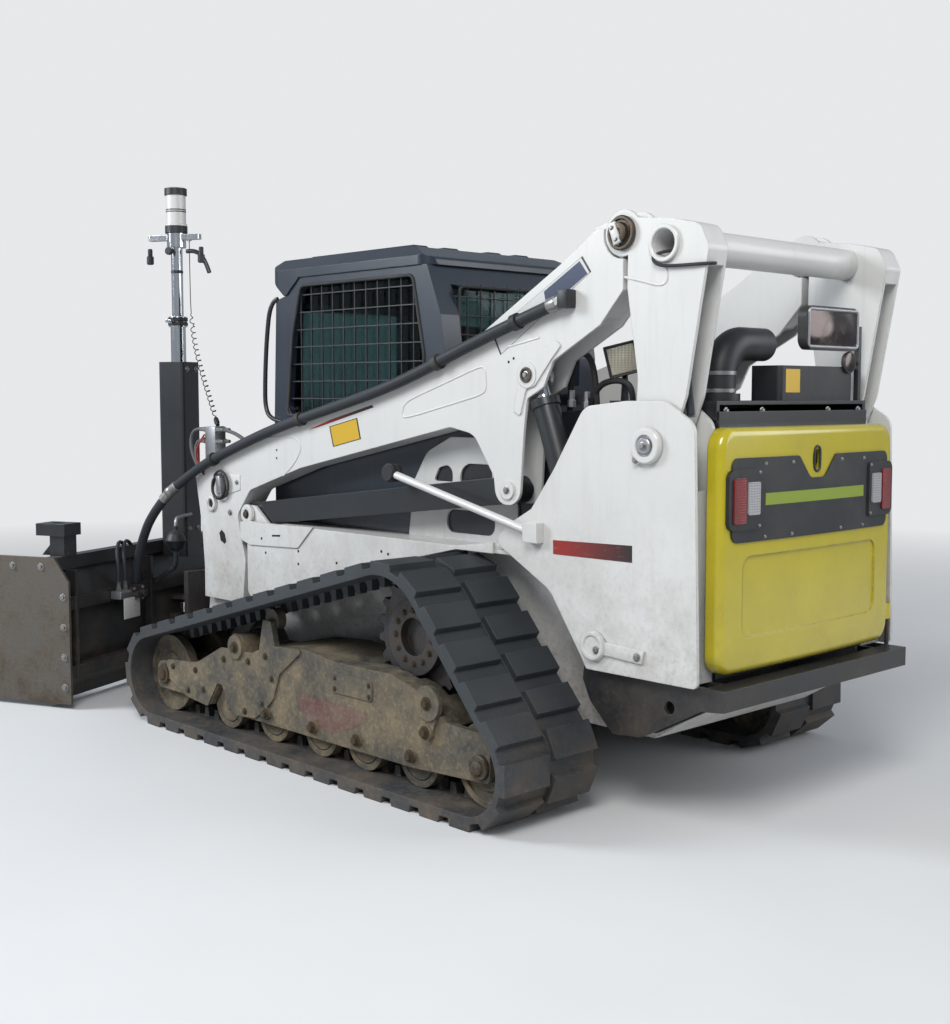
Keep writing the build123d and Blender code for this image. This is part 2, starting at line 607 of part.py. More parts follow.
def make_upright():
    """Left tower: two plates that take the rear link's foot and the lift cylinder's base."""
    tower = across(side_face(UPRIGHT_OUTER_SIDE), UPRIGHT_OUT - UPRIGHT_OUTER_WALL, UPRIGHT_OUT)
    tower += across(side_face(UPRIGHT_INNER_SIDE), UPRIGHT_IN, UPRIGHT_IN + UPRIGHT_INNER_WALL)
    # rear wall and foot between the plates
    y_in = UPRIGHT_IN
    y_out = UPRIGHT_OUT - 1
    tower += across(side_face(UPRIGHT_WALL_SIDE), y_in, y_out)
    tower += block(-652, -232, y_in, y_out, BUMPER_TOP, BUMPER_TOP + 16)
    x, z = PIN_LINK_FOOT
    tower += disc(x, z, PIN_RADIUS, y_in, UPRIGHT_OUT + 14)
    tower += disc(x, z, 52, UPRIGHT_OUT, UPRIGHT_OUT + 8)
    x, z = PIN_LIFT_BASE
    tower += disc(x, z, PIN_RADIUS, y_in, UPRIGHT_OUT + 12)
    tower += disc(x, z, 48, UPRIGHT_OUT, UPRIGHT_OUT + 6)
    return tower


def make_rear_bumper():
    """Black lower rear frame with the bar behind the tailgate."""
    profile = side_face(BUMPER_SIDE)
    tie = Pos(*TIE_DOWN) * Circle(TIE_RADIUS)
    side = across(profile - tie, REAR_HALF - 16, REAR_HALF)
    side += across(profile, UPRIGHT_IN, UPRIGHT_IN + 16)
    bumper = side + mirrored(side)
    bumper += block(-778, -700, -REAR_HALF, REAR_HALF, 448, BUMPER_TOP)
    bumper += block(-700, -642, -UPRIGHT_IN, UPRIGHT_IN, 440, 456)
    # tailgate's hinge pin
    pin_top = TAILGATE_LOW + 128
    bumper += Pos(*TAIL_HINGE, (BUMPER_TOP + pin_top) / 2) * Cylinder(8, pin_top - BUMPER_TOP)
    bumper += block(-730, -690, -REAR_HALF, TAIL_HINGE[1] + 14, 470, BUMPER_TOP)
    return bumper


def make_engine():
    """Engine and cooling pack as one plain block."""
    return block(-430, 420, -ENGINE_HALF, ENGINE_HALF, ENGINE_BOTTOM, ENGINE_TOP)


def make_engine_cover():
    """Hollow cover behind the cab, open below and behind the tailgate."""
    rows = ((COVER_REAR, TUB_TOP, 0), (COVER_REAR, COVER_TOP + 24, 30), (-420, COVER_TOP + 24, 60),
            (60, COVER_TOP - 20, 60), (CAB_REAR - 2, COVER_TOP - 60, 0), (CAB_REAR - 2, TUB_TOP, 0))
    cover = across(side_face(rows), -COVER_HALF, COVER_HALF)
    inner = ((COVER_REAR - 1, TUB_TOP - 1, 0), (COVER_REAR - 1, COVER_TOP + 24 - COVER_WALL, 0),
             (-420, COVER_TOP + 24 - COVER_WALL, 60), (60, COVER_TOP - 20 - COVER_WALL, 60),
             (CAB_REAR - 2 - COVER_WALL, COVER_TOP - 60 - COVER_WALL, 0),
             (CAB_REAR - 2 - COVER_WALL, TUB_TOP - 1, 0))
    cover -= across(side_face(inner), COVER_WALL - COVER_HALF, COVER_HALF - COVER_WALL)
    slab = block(COVER_REAR, -420, -COVER_HALF - 4, COVER_HALF + 4, COVER_TOP - 38, COVER_TOP + 24)
    cover += slab - block(COVER_REAR - 1, -419, COVER_WALL - COVER_HALF, COVER_HALF - COVER_WALL,
                          COVER_TOP - 39, COVER_TOP + 23 - COVER_WALL)
    for number in range(5):
        x = -330 + 70 * number
        cover -= block(x, x + 36, -300, 300, COVER_TOP - 80, COVER_TOP + 40)
    # foot of the work lamp
    cover += block(LAMP_X - 30, LAMP_X + 30, 360, 420, COVER_TOP - 16, COVER_TOP + 24)
    return cover


def make_exhaust():
    """Elbow that turns from the engine cover towards the machine's right."""
    base = COVER_TOP + 24
    x, y, bend, radius = -560.0, 320.0, 120.0, 56.0
    route = FilletPolyline((x, y, base), (x, y, base + 190), (x, y - 250, base + 190), radius=bend)
    start = Plane(origin=(x, y, base), z_dir=(0, 0, 1))
    pipe = sweep(start * Circle(radius), path=route)
    pipe += Pos(x, y, base + 12) * Cylinder(radius + 16, 24)
    return pipe - rod_between((x, y - 251, base + 190), (x, y - 140, base + 190), radius - 5)


def make_filter_box():
    """Black box beside the elbow."""
    base = COVER_TOP + 24
    box = block(-628, -500, -400, 60, base, base + 120)
    return fillet(box.edges().filter_by(Axis.Z), 20)


def make_mirror():
    """Mirror head on a pole behind the cover."""
    base = COVER_TOP + 24
    pole = block(-640, -622, -432, -414, base, 1690)
    pole += block(-640, -622, -432, -380, 1660, 1680)
    head = block(-648, -612, -400, -60, 1600, 1752)
    head = fillet(head.edges().filter_by(Axis.X), 40)
    return pole + head


# ================================================================ lift linkage
def make_rear_link():
    """Left rear link: a leg whose fork takes the arm's hub."""
    x, z = PIN_LINK_HEAD
    foot_x, foot_z = PIN_LINK_FOOT
    leg = side_face(LINK_SIDE)
    outline = leg + Pos(x, z) * Circle(HEAD_RADIUS) + Pos(foot_x, foot_z) * Circle(HEAD_RADIUS)
    link = across(outline, LINK_IN, LINK_OUT)
    pocket = Pos(x, z) * Circle(HEAD_RADIUS + 14)
    link -= across(pocket, LINK_IN + LINK_CHEEK, LINK_OUT - LINK_CHEEK)
    link -= across(side_face(LINK_CHANNEL), LINK_IN + LINK_CHEEK, LINK_OUT - LINK_CHEEK)
    # the cheeks end in front of the head, so that the arm's neck passes between them
    link += disc(x, z, PIN_RADIUS, LINK_IN - 8, LINK_OUT + 14)
    link += disc(x, z, 50, LINK_OUT, LINK_OUT + 6)
    link -= disc(foot_x, foot_z, PIN_RADIUS + RUNNING, LINK_IN - 1, LINK_OUT + 1)
    tube_x, tube_z, radius = CROSS_TUBE
    link -= disc(tube_x, tube_z, radius - 12, LINK_IN - 1, LINK_OUT + 1)
    clip = hose_clip(LINK_HOSE[1], LINK_HOSE[2], LINK_HOSE_RADIUS, LINK_IN + LINK_CHEEK - 1)
    return link, clip


def make_link_cross_tube():
    """Tube that ties the two rear links."""
    x, z, radius = CROSS_TUBE
    return ring(x, z, radius, radius - 12, -LINK_IN, LINK_IN)


def make_lift_arm():
    """Left lift arm: closed beam with a plated lug behind and an inboard leg in front."""
    head_x, head_z = PIN_LINK_HEAD
    plate_rows = ARM_TOP + ARM_FRONT + ARM_PLATE_REAR
    core_rows = ARM_TOP + ARM_FRONT + ARM_CORE_REAR
    arm = across(side_face(core_rows), ARM_IN + ARM_PLATE, ARM_OUT - ARM_PLATE)
    arm += across(side_face(plate_rows), ARM_IN, ARM_IN + ARM_PLATE)
    arm += across(side_face(plate_rows), ARM_OUT - ARM_PLATE, ARM_OUT)
    arm -= disc(head_x, head_z, HEAD_RADIUS + 7, ARM_IN - 1, ARM_OUT + 1)
    # hub in the fork, with its neck
    hub_in = LINK_IN + LINK_CHEEK + SIDE_GAP
    hub_out = LINK_OUT - LINK_CHEEK - SIDE_GAP
    neck = side_face(((head_x, head_z + HUB_RADIUS, 0), (head_x + 140, head_z + 30, 0),
                      (head_x + 60, head_z - 130, 0), (head_x, head_z - HUB_RADIUS, 0)))
    arm += across(neck + Pos(head_x, head_z) * Circle(HUB_RADIUS), hub_in, hub_out)
    arm -= disc(head_x, head_z, PIN_RADIUS + RUNNING, ARM_IN - 1, ARM_OUT + 1)
    # inboard leg down to the coupler
    foot_x, foot_z = PIN_COUPLER
    leg = side_face(ARM_LEG) + Pos(foot_x, foot_z) * Circle(78)
    arm += across(leg, LEG_IN, LEG_OUT)
    arm -= disc(foot_x, foot_z, PIN_RADIUS + RUNNING, LEG_IN - 1, LEG_OUT + 1)
    # ear and pin of the tilt cylinder, on the beam's inner side
    x, z = PIN_TILT_TOP
    ear = side_face(((x - 48, z - 50, 20), (x - 60, z + 120, 30), (x + 90, z + 130, 30),
                     (x + 48, z - 50, 40)))
    arm += across(ear, TILT_Y + TILT_BARREL, ARM_IN)
    arm += disc(x, z, TILT_PIN, TILT_Y - TILT_BARREL, TILT_Y + TILT_BARREL)
    arm += disc(x, z, TILT_PIN + 12, TILT_Y - TILT_BARREL - 6, TILT_Y - TILT_BARREL)
    arm += across(side_face(ARM_BOSS), ARM_OUT, ARM_OUT + 6)
    # clamps and rear fitting of the hose
    for number in (0, 1, 3, 5):
        clip = hose_clip(ARM_HOSE[number], ARM_HOSE[number + 1], HOSE_RADIUS, ARM_OUT - 1)
        hoses = clip if number == 0 else hoses + clip
    hoses += end_fitting(ARM_HOSE[0], ARM_HOSE[1], 44, HOSE_RADIUS - 4)
    x, y, z = ARM_HOSE[0]
    hoses += block(x - 70, x - 30, ARM_OUT - 1, y + 24, z - 14, z + 42)
    # raised bosses on the outer plate: x, z, radius, height
    for x, z, radius, height in ((*PIN_LIFT_ROD, 46, 8), (*PIN_CONTROL_REAR, 34, 8), (2093, 946, 40, 6)):
        arm += disc(x, z, radius, ARM_OUT, ARM_OUT + height)
    return arm, hoses


def make_arm_cross_member():
    """Tube between the two legs, ahead of the chassis."""
    x, z, radius = CROSS_MEMBER
    return disc(x, z, radius, -LEG_IN, LEG_IN)


def make_control_link():
    """Left control link: flat box bar between the front pin and the arm's lug."""
    front_x, front_z = PIN_CONTROL_FRONT
    rear_x, rear_z = PIN_CONTROL_REAR
    slope = math.atan2(rear_z - front_z, rear_x - front_x)
    half = CONTROL_DEPTH / 2
    across_x = -half * math.sin(slope)
    across_z = half * math.cos(slope)
    bar = side_face(((front_x + across_x, front_z + across_z, 0), (rear_x + across_x, rear_z + across_z, 0),
                     (rear_x - across_x, rear_z - across_z, 0), (front_x - across_x, front_z - across_z, 0)))
    outline = bar + Pos(front_x, front_z) * Circle(half) + Pos(rear_x, rear_z) * Circle(half)
    link = across(outline, CONTROL_IN, CONTROL_OUT)
    link -= disc(front_x, front_z, PIN_RADIUS + RUNNING, CONTROL_IN - 1, CONTROL_OUT + 1)
    link += disc(rear_x, rear_z, PIN_RADIUS, ARM_IN + ARM_PLATE + SIDE_GAP, ARM_OUT - ARM_PLATE - SIDE_GAP)
    return link


def lift_plane():
    """Plane at the cylinder's base pin whose z runs to the rod's pin."""
    base = Vector(PIN_LIFT_BASE[0], LIFT_Y, PIN_LIFT_BASE[1])
    tip = Vector(PIN_LIFT_ROD[0], LIFT_Y, PIN_LIFT_ROD[1])
    return Plane(origin=base, x_dir=(0, 1, 0), z_dir=tip - base), (tip - base).length


def make_lift_barrel():
    """Left lift cylinder's barrel with its base eye."""
    plane, length = lift_plane()
    barrel = extrude(plane.offset(40) * Circle(LIFT_BARREL), length - 40 - 92)
    barrel += extrude(plane.offset(length - 120) * Circle(LIFT_BARREL + 6), 28)
    barrel += disc(*PIN_LIFT_BASE, 55, LIFT_Y - 38, LIFT_Y + 38)
    barrel -= disc(*PIN_LIFT_BASE, PIN_RADIUS + RUNNING, LIFT_Y - 60, LIFT_Y + 60)
    barrel -= extrude(plane.offset(80) * Circle(LIFT_ROD + RUNNING), length)
    return barrel


def make_lift_rod():
    """Left lift cylinder's rod with its eye and the eye's pin."""
    plane, length = lift_plane()
    rod = extrude(plane.offset(100) * Circle(LIFT_ROD), length - 130)
    rod += disc(*PIN_LIFT_ROD, LIFT_EYE, LIFT_Y - 30, LIFT_Y + 34)
    rod += disc(*PIN_LIFT_ROD, PIN_RADIUS, ARM_IN + ARM_PLATE + SIDE_GAP + 4, ARM_OUT - ARM_PLATE - SIDE_GAP)
    return rod


def tilt_plane():
    """Plane at the tilt cylinder's upper pin whose z runs to its foot."""
    top = Vector(PIN_TILT_TOP[0], TILT_Y, PIN_TILT_TOP[1])
    foot = Vector(PIN_TILT_FOOT[0], TILT_Y, PIN_TILT_FOOT[1])
    return Plane(origin=top, x_dir=(0, 1, 0), z_dir=foot - top), (foot - top).length


def make_tilt_barrel():
    """Left tilt cylinder's barrel."""
    plane, length = tilt_plane()
    barrel = extrude(plane.offset(24) * Circle(TILT_BARREL), TILT_BARREL_LENGTH)
    barrel += disc(*PIN_TILT_TOP, TILT_BARREL, TILT_Y - 30, TILT_Y + 30)
    barrel -= disc(*PIN_TILT_TOP, TILT_PIN + RUNNING, TILT_Y - 31, TILT_Y + 31)
    barrel -= extrude(plane.offset(60) * Circle(TILT_ROD + RUNNING), length)
    return barrel


def make_tilt_rod():
    """Left tilt cylinder's rod and eye."""
    plane, length = tilt_plane()
    rod = extrude(plane.offset(length - TILT_ROD_LENGTH) * Circle(TILT_ROD), TILT_ROD_LENGTH - 22)
    rod += disc(*PIN_TILT_FOOT, 32, TILT_Y - 25, TILT_Y + 25)
    return rod


def make_coupler():
    """Quick-change plate with the ears that take the arms' feet."""
    plate = block(COUPLER_BACK, COUPLER_BACK + COUPLER_THICKNESS, -COUPLER_HALF, COUPLER_HALF,
                  COUPLER_LOW, COUPLER_HIGH)
    plate -= block(COUPLER_BACK - 1, COUPLER_BACK + COUPLER_THICKNESS + 1, -180, 180, 260, 500)
    for side in (-1, 1):
        plate -= block(COUPLER_BACK - 1, COUPLER_BACK + COUPLER_THICKNESS + 1, side * TILT_Y - 30,
                       side * TILT_Y + 30, 380, COUPLER_HIGH + 1)
    x, z = PIN_COUPLER
    ear = side_face(((x - 50, z - 60, 40), (x - 50, z + 60, 40), (COUPLER_BACK + 1, 520, 0),
                     (COUPLER_BACK + 1, COUPLER_LOW + 5, 0)))
    side = across(ear, LEG_IN - SIDE_GAP - 24, LEG_IN - SIDE_GAP)
    side += disc(x, z, PIN_RADIUS, LEG_IN - SIDE_GAP - 24, LEG_OUT + 5)
    foot_x, foot_z = PIN_TILT_FOOT
    horn = side_face(((foot_x - 34, foot_z + 30, 30), (COUPLER_BACK + 1, foot_z + 60, 0),
                      (COUPLER_BACK + 1, foot_z - 80, 0), (foot_x - 34, foot_z - 36, 30)))
    for y_in, y_out in ((TILT_Y - 44, TILT_Y - 30), (TILT_Y + 30, TILT_Y + 44)):
        side += across(horn, y_in, y_out)
    # caps of the tilt pin
    for y_in, y_out in ((TILT_Y - 52, TILT_Y - 44), (TILT_Y + 44, TILT_Y + 48)):
        side += disc(foot_x, foot_z, TILT_PIN, y_in, y_out)
    return plate + side + mirrored(side)


# ================================================================ blade and mast
def blade_point(forward, left, z):
    """Point given along and across the angled blade, from the blade's pivot."""
    turn = math.radians(BLADE_ANGLE)
    x = BLADE_PIVOT + forward * math.cos(turn) - left * math.sin(turn)
    y = forward * math.sin(turn) + left * math.cos(turn)
    return (x, y, z)


def end_fitting(end, inner, length, radius):
    """Fitting that meets a cord's end face, where inner is the route's neighbouring point."""
    outward = (Vector(*end) - Vector(*inner)).normalized()
    return rod_between(Vector(*end), Vector(*end) + outward * length, radius)


def hose_clip(start, end, radius, plate_y):
    """Clamp round the middle of one run of a hose, standing on a plate at plate_y."""
    middle = (Vector(*start) + Vector(*end)) * 0.5
    run = (Vector(*end) - Vector(*start)).normalized()
    clip = rod_between(middle - run * 12, middle + run * 12, radius + 6)
    clip += block(middle.X - 12, middle.X + 12, min(plate_y, middle.Y), max(plate_y, middle.Y),
                  middle.Z - 12, middle.Z + 12)
    return clip - rod_between(middle - run * 60, middle + run * 60, radius + RUNNING)


def on_blade(part):
    """Turn a piece made square to the machine to the blade's angle about its pivot."""
    return Pos(BLADE_PIVOT, 0, 0) * Rot(0, 0, BLADE_ANGLE) * part


def make_blade_frame():
    """Push frame from the coupler to the blade's pivot."""
    start = COUPLER_BACK + COUPLER_THICKNESS
    frame = block(start, start + FRAME_PLATE, -520, 520, 190, 590)
    frame += block(start + FRAME_PLATE, BLADE_PIVOT - 60, -110, 110, 230, 470)
    frame += Pos(BLADE_PIVOT, 0, 350) * Cylinder(58, 240)
    frame += block(BLADE_PIVOT - 90, BLADE_PIVOT, -58, 58, 230, 470)
    frame += Pos(BLADE_PIVOT, 0, 350) * Cylinder(34, 336)
    return frame


def make_moldboard():
    """Curved blade with its top bar, ribs, cutting edge and pivot ears."""
    front = BLADE_SETBACK
    middle = (BLADE_LOW + BLADE_HIGH) / 2
    skin = make_face([
        ThreePointArc((front, BLADE_LOW + 60), (front - BLADE_SAG, middle), (front, BLADE_HIGH)),
        Line((front, BLADE_HIGH), (front - BLADE_SKIN, BLADE_HIGH)),
        ThreePointArc((front - BLADE_SKIN, BLADE_HIGH), (front - BLADE_SAG - BLADE_SKIN, middle),
                      (front - BLADE_SKIN, BLADE_LOW + 60)),
        Line((front - BLADE_SKIN, BLADE_LOW + 60), (front, BLADE_LOW + 60)),
    ])
    blade = across(skin, -BLADE_HALF, BLADE_HALF)
    blade += block(front - TOP_BAR, front, -BLADE_HALF, BLADE_HALF, BLADE_HIGH - TOP_BAR, BLADE_HIGH)
    blade += block(front - 110, front - 40, -BLADE_HALF, BLADE_HALF, 455, 515)
    blade += block(front - 110, front - 40, -BLADE_HALF, BLADE_HALF, 130, 190)
    # upright ribs on the back
    for left in (70 - BLADE_HALF, -0.45 * BLADE_HALF, 0.45 * BLADE_HALF, BLADE_HALF - 70):
        blade += block(front - 116, front - 30, left - 8, left + 8, 130, BLADE_HIGH - TOP_BAR)
    # ears of the pivot
    for z_low, z_high in ((190, 222), (478, 510)):
        ear = block(-60, front - 60, -90, 90, z_low, z_high)
        ear -= Pos(0, 0, (z_low + z_high) / 2) * Cylinder(34 + RUNNING, z_high - z_low + 2)
        blade += ear
    # ears of the angle cylinders' rods
    for left in (-ANGLE_PIN_Y, ANGLE_PIN_Y):
        for z_low, z_high in ((ANGLE_Z - 60, ANGLE_Z - 40), (ANGLE_Z + 40, ANGLE_Z + 60)):
            blade += block(ANGLE_LUG, front - 60, left - 36, left + 36, z_low, z_high)
            blade += Pos(ANGLE_LUG, left, (z_low + z_high) / 2) * Cylinder(36, z_high - z_low)
    blade += block(front - 3, front + 17, -BLADE_HALF, BLADE_HALF, BLADE_LOW, BLADE_LOW + 150)
    return on_blade(blade)


def make_end_plate():
    """Left box end, bolted to the blade's end."""
    front = BLADE_SETBACK
    rows = ((front - END_BACK - 62, BLADE_LOW + 4, 0), (front - END_BACK - 62, BLADE_HIGH - 112, 0),
            (front - END_BACK + 18, BLADE_HIGH, 0), (front + END_FORWARD - 160, BLADE_HIGH, 40),
            (front + END_FORWARD, BLADE_HIGH - 260, 60), (front + END_FORWARD, BLADE_LOW + 4, 30))
    return across(side_face(rows), BLADE_HALF, BLADE_HALF + END_PLATE)


def make_mast_mount():
    """Empty mast socket on the blade's left end, over a blind ledge."""
    front = BLADE_SETBACK
    left = BLADE_HALF - 80
    base = BLADE_HIGH + 96
    mount = block(front - 75, front + 5, left - 45, left + 45, BLADE_HIGH, base)
    mount += block(front - 90, front + 70, left - 60, left + 60, base, base + MAST_LEDGE)
    mount += across(side_face(((front + 5, BLADE_HIGH, 0), (front + 5, BLADE_HIGH + 80, 0),
                               (front + 80, BLADE_HIGH, 0))), left - 8, left + 8)
    mount -= Pos(front - 10, left, base + MAST_LEDGE / 2) * Cylinder(MAST_SOCKET, MAST_LEDGE)
    return on_blade(mount)


def make_hose_manifold():
    """Fittings block on the blade's back that takes the hose from the arm."""
    front = BLADE_SETBACK
    body = block(front - 176, front - 50, 690, 790, 440, 518)
    body = fillet(body.edges().filter_by(Axis.X), 12)
    for left in (712, 768):
        body += Pos(front - 180, left, 478) * Rot(0, 90, 0) * Cylinder(17, 40)
    return on_blade(body) + end_fitting(BLADE_HOSE[-1], BLADE_HOSE[-2], 44, HOSE_RADIUS - 3)


def angle_pins(side):
    """Frame pin and blade pin of an angle cylinder, side is 1 for the left."""
    back = Vector(ANGLE_PIN_X, side * ANGLE_PIN_Y, ANGLE_Z)
    front = Vector(*blade_point(ANGLE_LUG, side * ANGLE_PIN_Y, ANGLE_Z))
    return back, front


def make_angle_barrel(side):
    """Angle cylinder's barrel."""
    back, front = angle_pins(side)
    run = (front - back).normalized()
    barrel = rod_between(back + run * 20, back + run * ANGLE_BARREL_LENGTH, 34)
    barrel += Pos(*back) * Cylinder(34, 50)
    barrel -= Pos(*back) * Cylinder(ANGLE_ROD + RUNNING, 70)
    return barrel - rod_between(back + run * 30, front, ANGLE_ROD + RUNNING)


def make_angle_rod(side):
    """Angle cylinder's rod and eye."""
    back, front = angle_pins(side)
    run = (front - back).normalized()
    rod = rod_between(front - run * ANGLE_ROD_LENGTH, front - run * 20, ANGLE_ROD)
    return rod + Pos(*front) * Cylinder(30, 50)


def clevis(x, y, radius, reach):
    """Two ears above and below an angle cylinder's eye, reaching from x to reach."""
    ears = block(min(x, reach), max(x, reach), y - radius, y + radius, ANGLE_Z - 60, ANGLE_Z + 60)
    ears += Pos(x, y, ANGLE_Z) * Cylinder(radius, 120)
    return ears - block(x - radius - 1, max(x + radius + 1, reach - 1), y - radius - 9, y + radius + 9,
                        ANGLE_Z - 40, ANGLE_Z + 40)


def make_angle_lugs():
    """Ears and pins on the push frame for the angle cylinders."""
    lug = clevis(ANGLE_PIN_X, ANGLE_PIN_Y, 36, COUPLER_BACK + COUPLER_THICKNESS + FRAME_PLATE)
    lug += Pos(ANGLE_PIN_X, ANGLE_PIN_Y, ANGLE_Z) * Cylinder(ANGLE_ROD, 120)
    return lug + mirrored(lug)


def make_mast_base():
    """Hollow lower mast housing on the blade's back."""
    front = BLADE_SETBACK
    half = MAST_HOUSING / 2
    rear = front - TOP_BAR - MAST_HOUSING
    middle = rear + half
    housing = block(rear, rear + MAST_HOUSING, MAST_OFFSET - half, MAST_OFFSET + half, 620, MAST_HOUSING_TOP)
    housing = fillet(housing.edges().filter_by(Axis.Z), 16)
    bore = Pos(middle, MAST_OFFSET, (700 + MAST_HOUSING_TOP) / 2 + 20) * Cylinder(58, MAST_HOUSING_TOP - 660)
    housing -= bore
    collar = Pos(middle, MAST_OFFSET, MAST_HOUSING_TOP - 20) * Cylinder(58, 40)
    collar -= Pos(middle, MAST_OFFSET, MAST_HOUSING_TOP - 20) * Cylinder(MAST_TUBE + RUNNING, 42)
    return on_blade(housing + collar)


def make_mast_tube():
    """Sliding mast with its collar, upper tube and clamp."""
    middle = BLADE_SETBACK - TOP_BAR - MAST_HOUSING / 2
    mast = Part()
    for z_low, z_high, radius in MAST_SECTIONS:
        mast += Pos(middle, MAST_OFFSET, (z_low + z_high) / 2) * Cylinder(radius, z_high - z_low)
    top = MAST_SECTIONS[-1][1]
    rear, front = MAST_BRACKET
    bracket = block(middle + rear, middle + front, MAST_OFFSET - 22, MAST_OFFSET + 22, top - 34, top - 8)
    mast += fillet(bracket.edges().filter_by(Axis.Z), 14)
    mast += Pos(middle, MAST_OFFSET + 70, 1816) * Rot(90, 0, 0) * Cylinder(9, 60)
    return on_blade(mast) + end_fitting(MAST_CORD[0], MAST_CORD[1], 14, MAST_CORD_RADIUS - 4)


def make_receiver():
    """Laser receiver on top of the mast."""
    middle = BLADE_SETBACK - TOP_BAR - MAST_HOUSING / 2
    low, high = RECEIVER_Z
    body = Pos(middle, MAST_OFFSET, (low + high) / 2) * Cylinder(RECEIVER_RADIUS - 6, high - low)
    # cap, window band and foot: lower z, upper z
    for z_low, z_high in ((low, low + 46), (high - 34, high)):
        body += Pos(middle, MAST_OFFSET, (z_low + z_high) / 2) * Cylinder(RECEIVER_RADIUS, z_high - z_low)
    return on_blade(body)


# ================================================================ cab
def make_cab():
    """Hollow cab shell with its windows cut."""
    outline = side_face(CAB_SIDE)
    shell = across(outline, -CAB_HALF, CAB_HALF)
    room = offset(outline, amount=-CAB_WALL, kind=Kind.INTERSECTION)
    shell -= across(room, CAB_WALL - CAB_HALF, CAB_HALF - CAB_WALL)
    shell -= across(side_face(SIDE_WINDOW), -CAB_HALF - 1, CAB_HALF + 1)
    # doorway in front with its jamb, and window behind
    jamb = block(CAB_FRONT - 40, CAB_FRONT + DOOR_GAP - 6, 24 - DOOR_HALF, DOOR_HALF - 24,
                 DOOR_LOW + 24, DOOR_HIGH - 42)
    shell += fillet(jamb.edges().filter_by(Axis.X), 50)
    shell -= block(CAB_FRONT - 200, CAB_FRONT + 60, DOOR_RAIL - DOOR_HALF, DOOR_HALF - DOOR_RAIL,
                   DOOR_LOW + DOOR_RAIL, DOOR_HIGH - DOOR_RAIL - 24)
    shell -= block(CAB_REAR - 60, CAB_REAR + 110, -REAR_WINDOW_HALF, REAR_WINDOW_HALF, *REAR_WINDOW_Z)
    # steps under the door
    shell += block(CAB_FRONT - 1, CAB_FRONT + 42, -260, 260, CAB_FLOOR, CAB_FLOOR + 26)
    # brackets and pins of the door's hinges
    x = CAB_FRONT + DOOR_GAP + DOOR_DEPTH
    for z_low, pin_z in ((DOOR_LOW - 14.3, DOOR_LOW + 20), (DOOR_HIGH + 0.3, DOOR_HIGH - 20)):
        shell += block(CAB_FRONT - 20, x + 12, -DOOR_HINGE_Y - 12, -DOOR_HINGE_Y + 14, z_low, z_low + 14)
        shell += Pos(x, -DOOR_HINGE_Y, pin_z) * Cylinder(HINGE_PIN, 42)
    shell += block(CAB_FRONT - 30, CAB_FRONT - 2, -DOOR_HINGE_Y - 12, -DOOR_HINGE_Y + 14,
                   DOOR_HIGH - 70, DOOR_HIGH + 14.3)
    return shell


def make_cab_roof():
    """Roof with its ribs and the visor in front."""
    half = CAB_HALF + 8
    rear = min(row[0] for row in ROOF_SIDE)
    front = max(row[0] for row in ROOF_SIDE)
    roof = across(side_face(ROOF_SIDE) - side_face(CAB_SIDE), -half, half)
    plan = Pos((rear + front) / 2, 0) * RectangleRounded(front - rear, 2 * half, 70)
    roof = roof & extrude(Plane.XY.offset(CAB_TOP - 155) * plan, ROOF_TOP - CAB_TOP + 220)
    # front view of the roof's crown: y, z
    eave = ROOF_TOP - 43
    crown = ((-half, CAB_TOP - 155), (half, CAB_TOP - 155), (half, eave), (half - 62, eave + 50),
             (60, eave + 68), (-60, eave + 68), (62 - half, eave + 50), (-half, eave))
    roof = roof & extrude(Plane.YZ.offset(rear - 142) * make_face(Polyline(*crown, close=True)),
                          front - rear + 330)
    for y_in, y_out in ((-340, -250), (-170, -80), (80, 170), (250, 340)):
        rib = block(950, 1650, y_in, y_out, ROOF_TOP - 15, ROOF_TOP + 19)
        roof += chamfer(rib.faces().sort_by(Axis.Z)[-1].edges(), 10)
    return roof


def make_cab_glass():
    """Side and rear panes, set in from the openings."""
    parts = []
    pane = across(side_face(SIDE_WINDOW), CAB_HALF - 30 - GLASS, CAB_HALF - 30)
    parts += both(pane).solids()
    parts += block(CAB_REAR + 30, CAB_REAR + 30 + GLASS, -REAR_WINDOW_HALF, REAR_WINDOW_HALF,
                   *REAR_WINDOW_Z).solids()
    return Compound(children=parts)


def make_window_screens():
    """Welded bar screens outside the side panes."""
    low_x, high_x = (min(row[0] for row in SIDE_WINDOW), max(row[0] for row in SIDE_WINDOW))
    low_z, high_z = (min(row[1] for row in SIDE_WINDOW), max(row[1] for row in SIDE_WINDOW))
    bars = Sketch()
    long = high_x - low_x
    high = high_z - low_z
    for number in range(1, round(long / SCREEN_PITCH)):
        bars += Pos(low_x + number * SCREEN_PITCH, low_z + high / 2) * Rectangle(SCREEN_BAR, high)
    for number in range(1, round(high / SCREEN_PITCH)):
        bars += Pos(low_x + long / 2, low_z + number * SCREEN_PITCH) * Rectangle(long, SCREEN_BAR)
    screen = across(bars & side_face(SIDE_WINDOW), CAB_HALF - 14, CAB_HALF - 8)
    return both(screen)


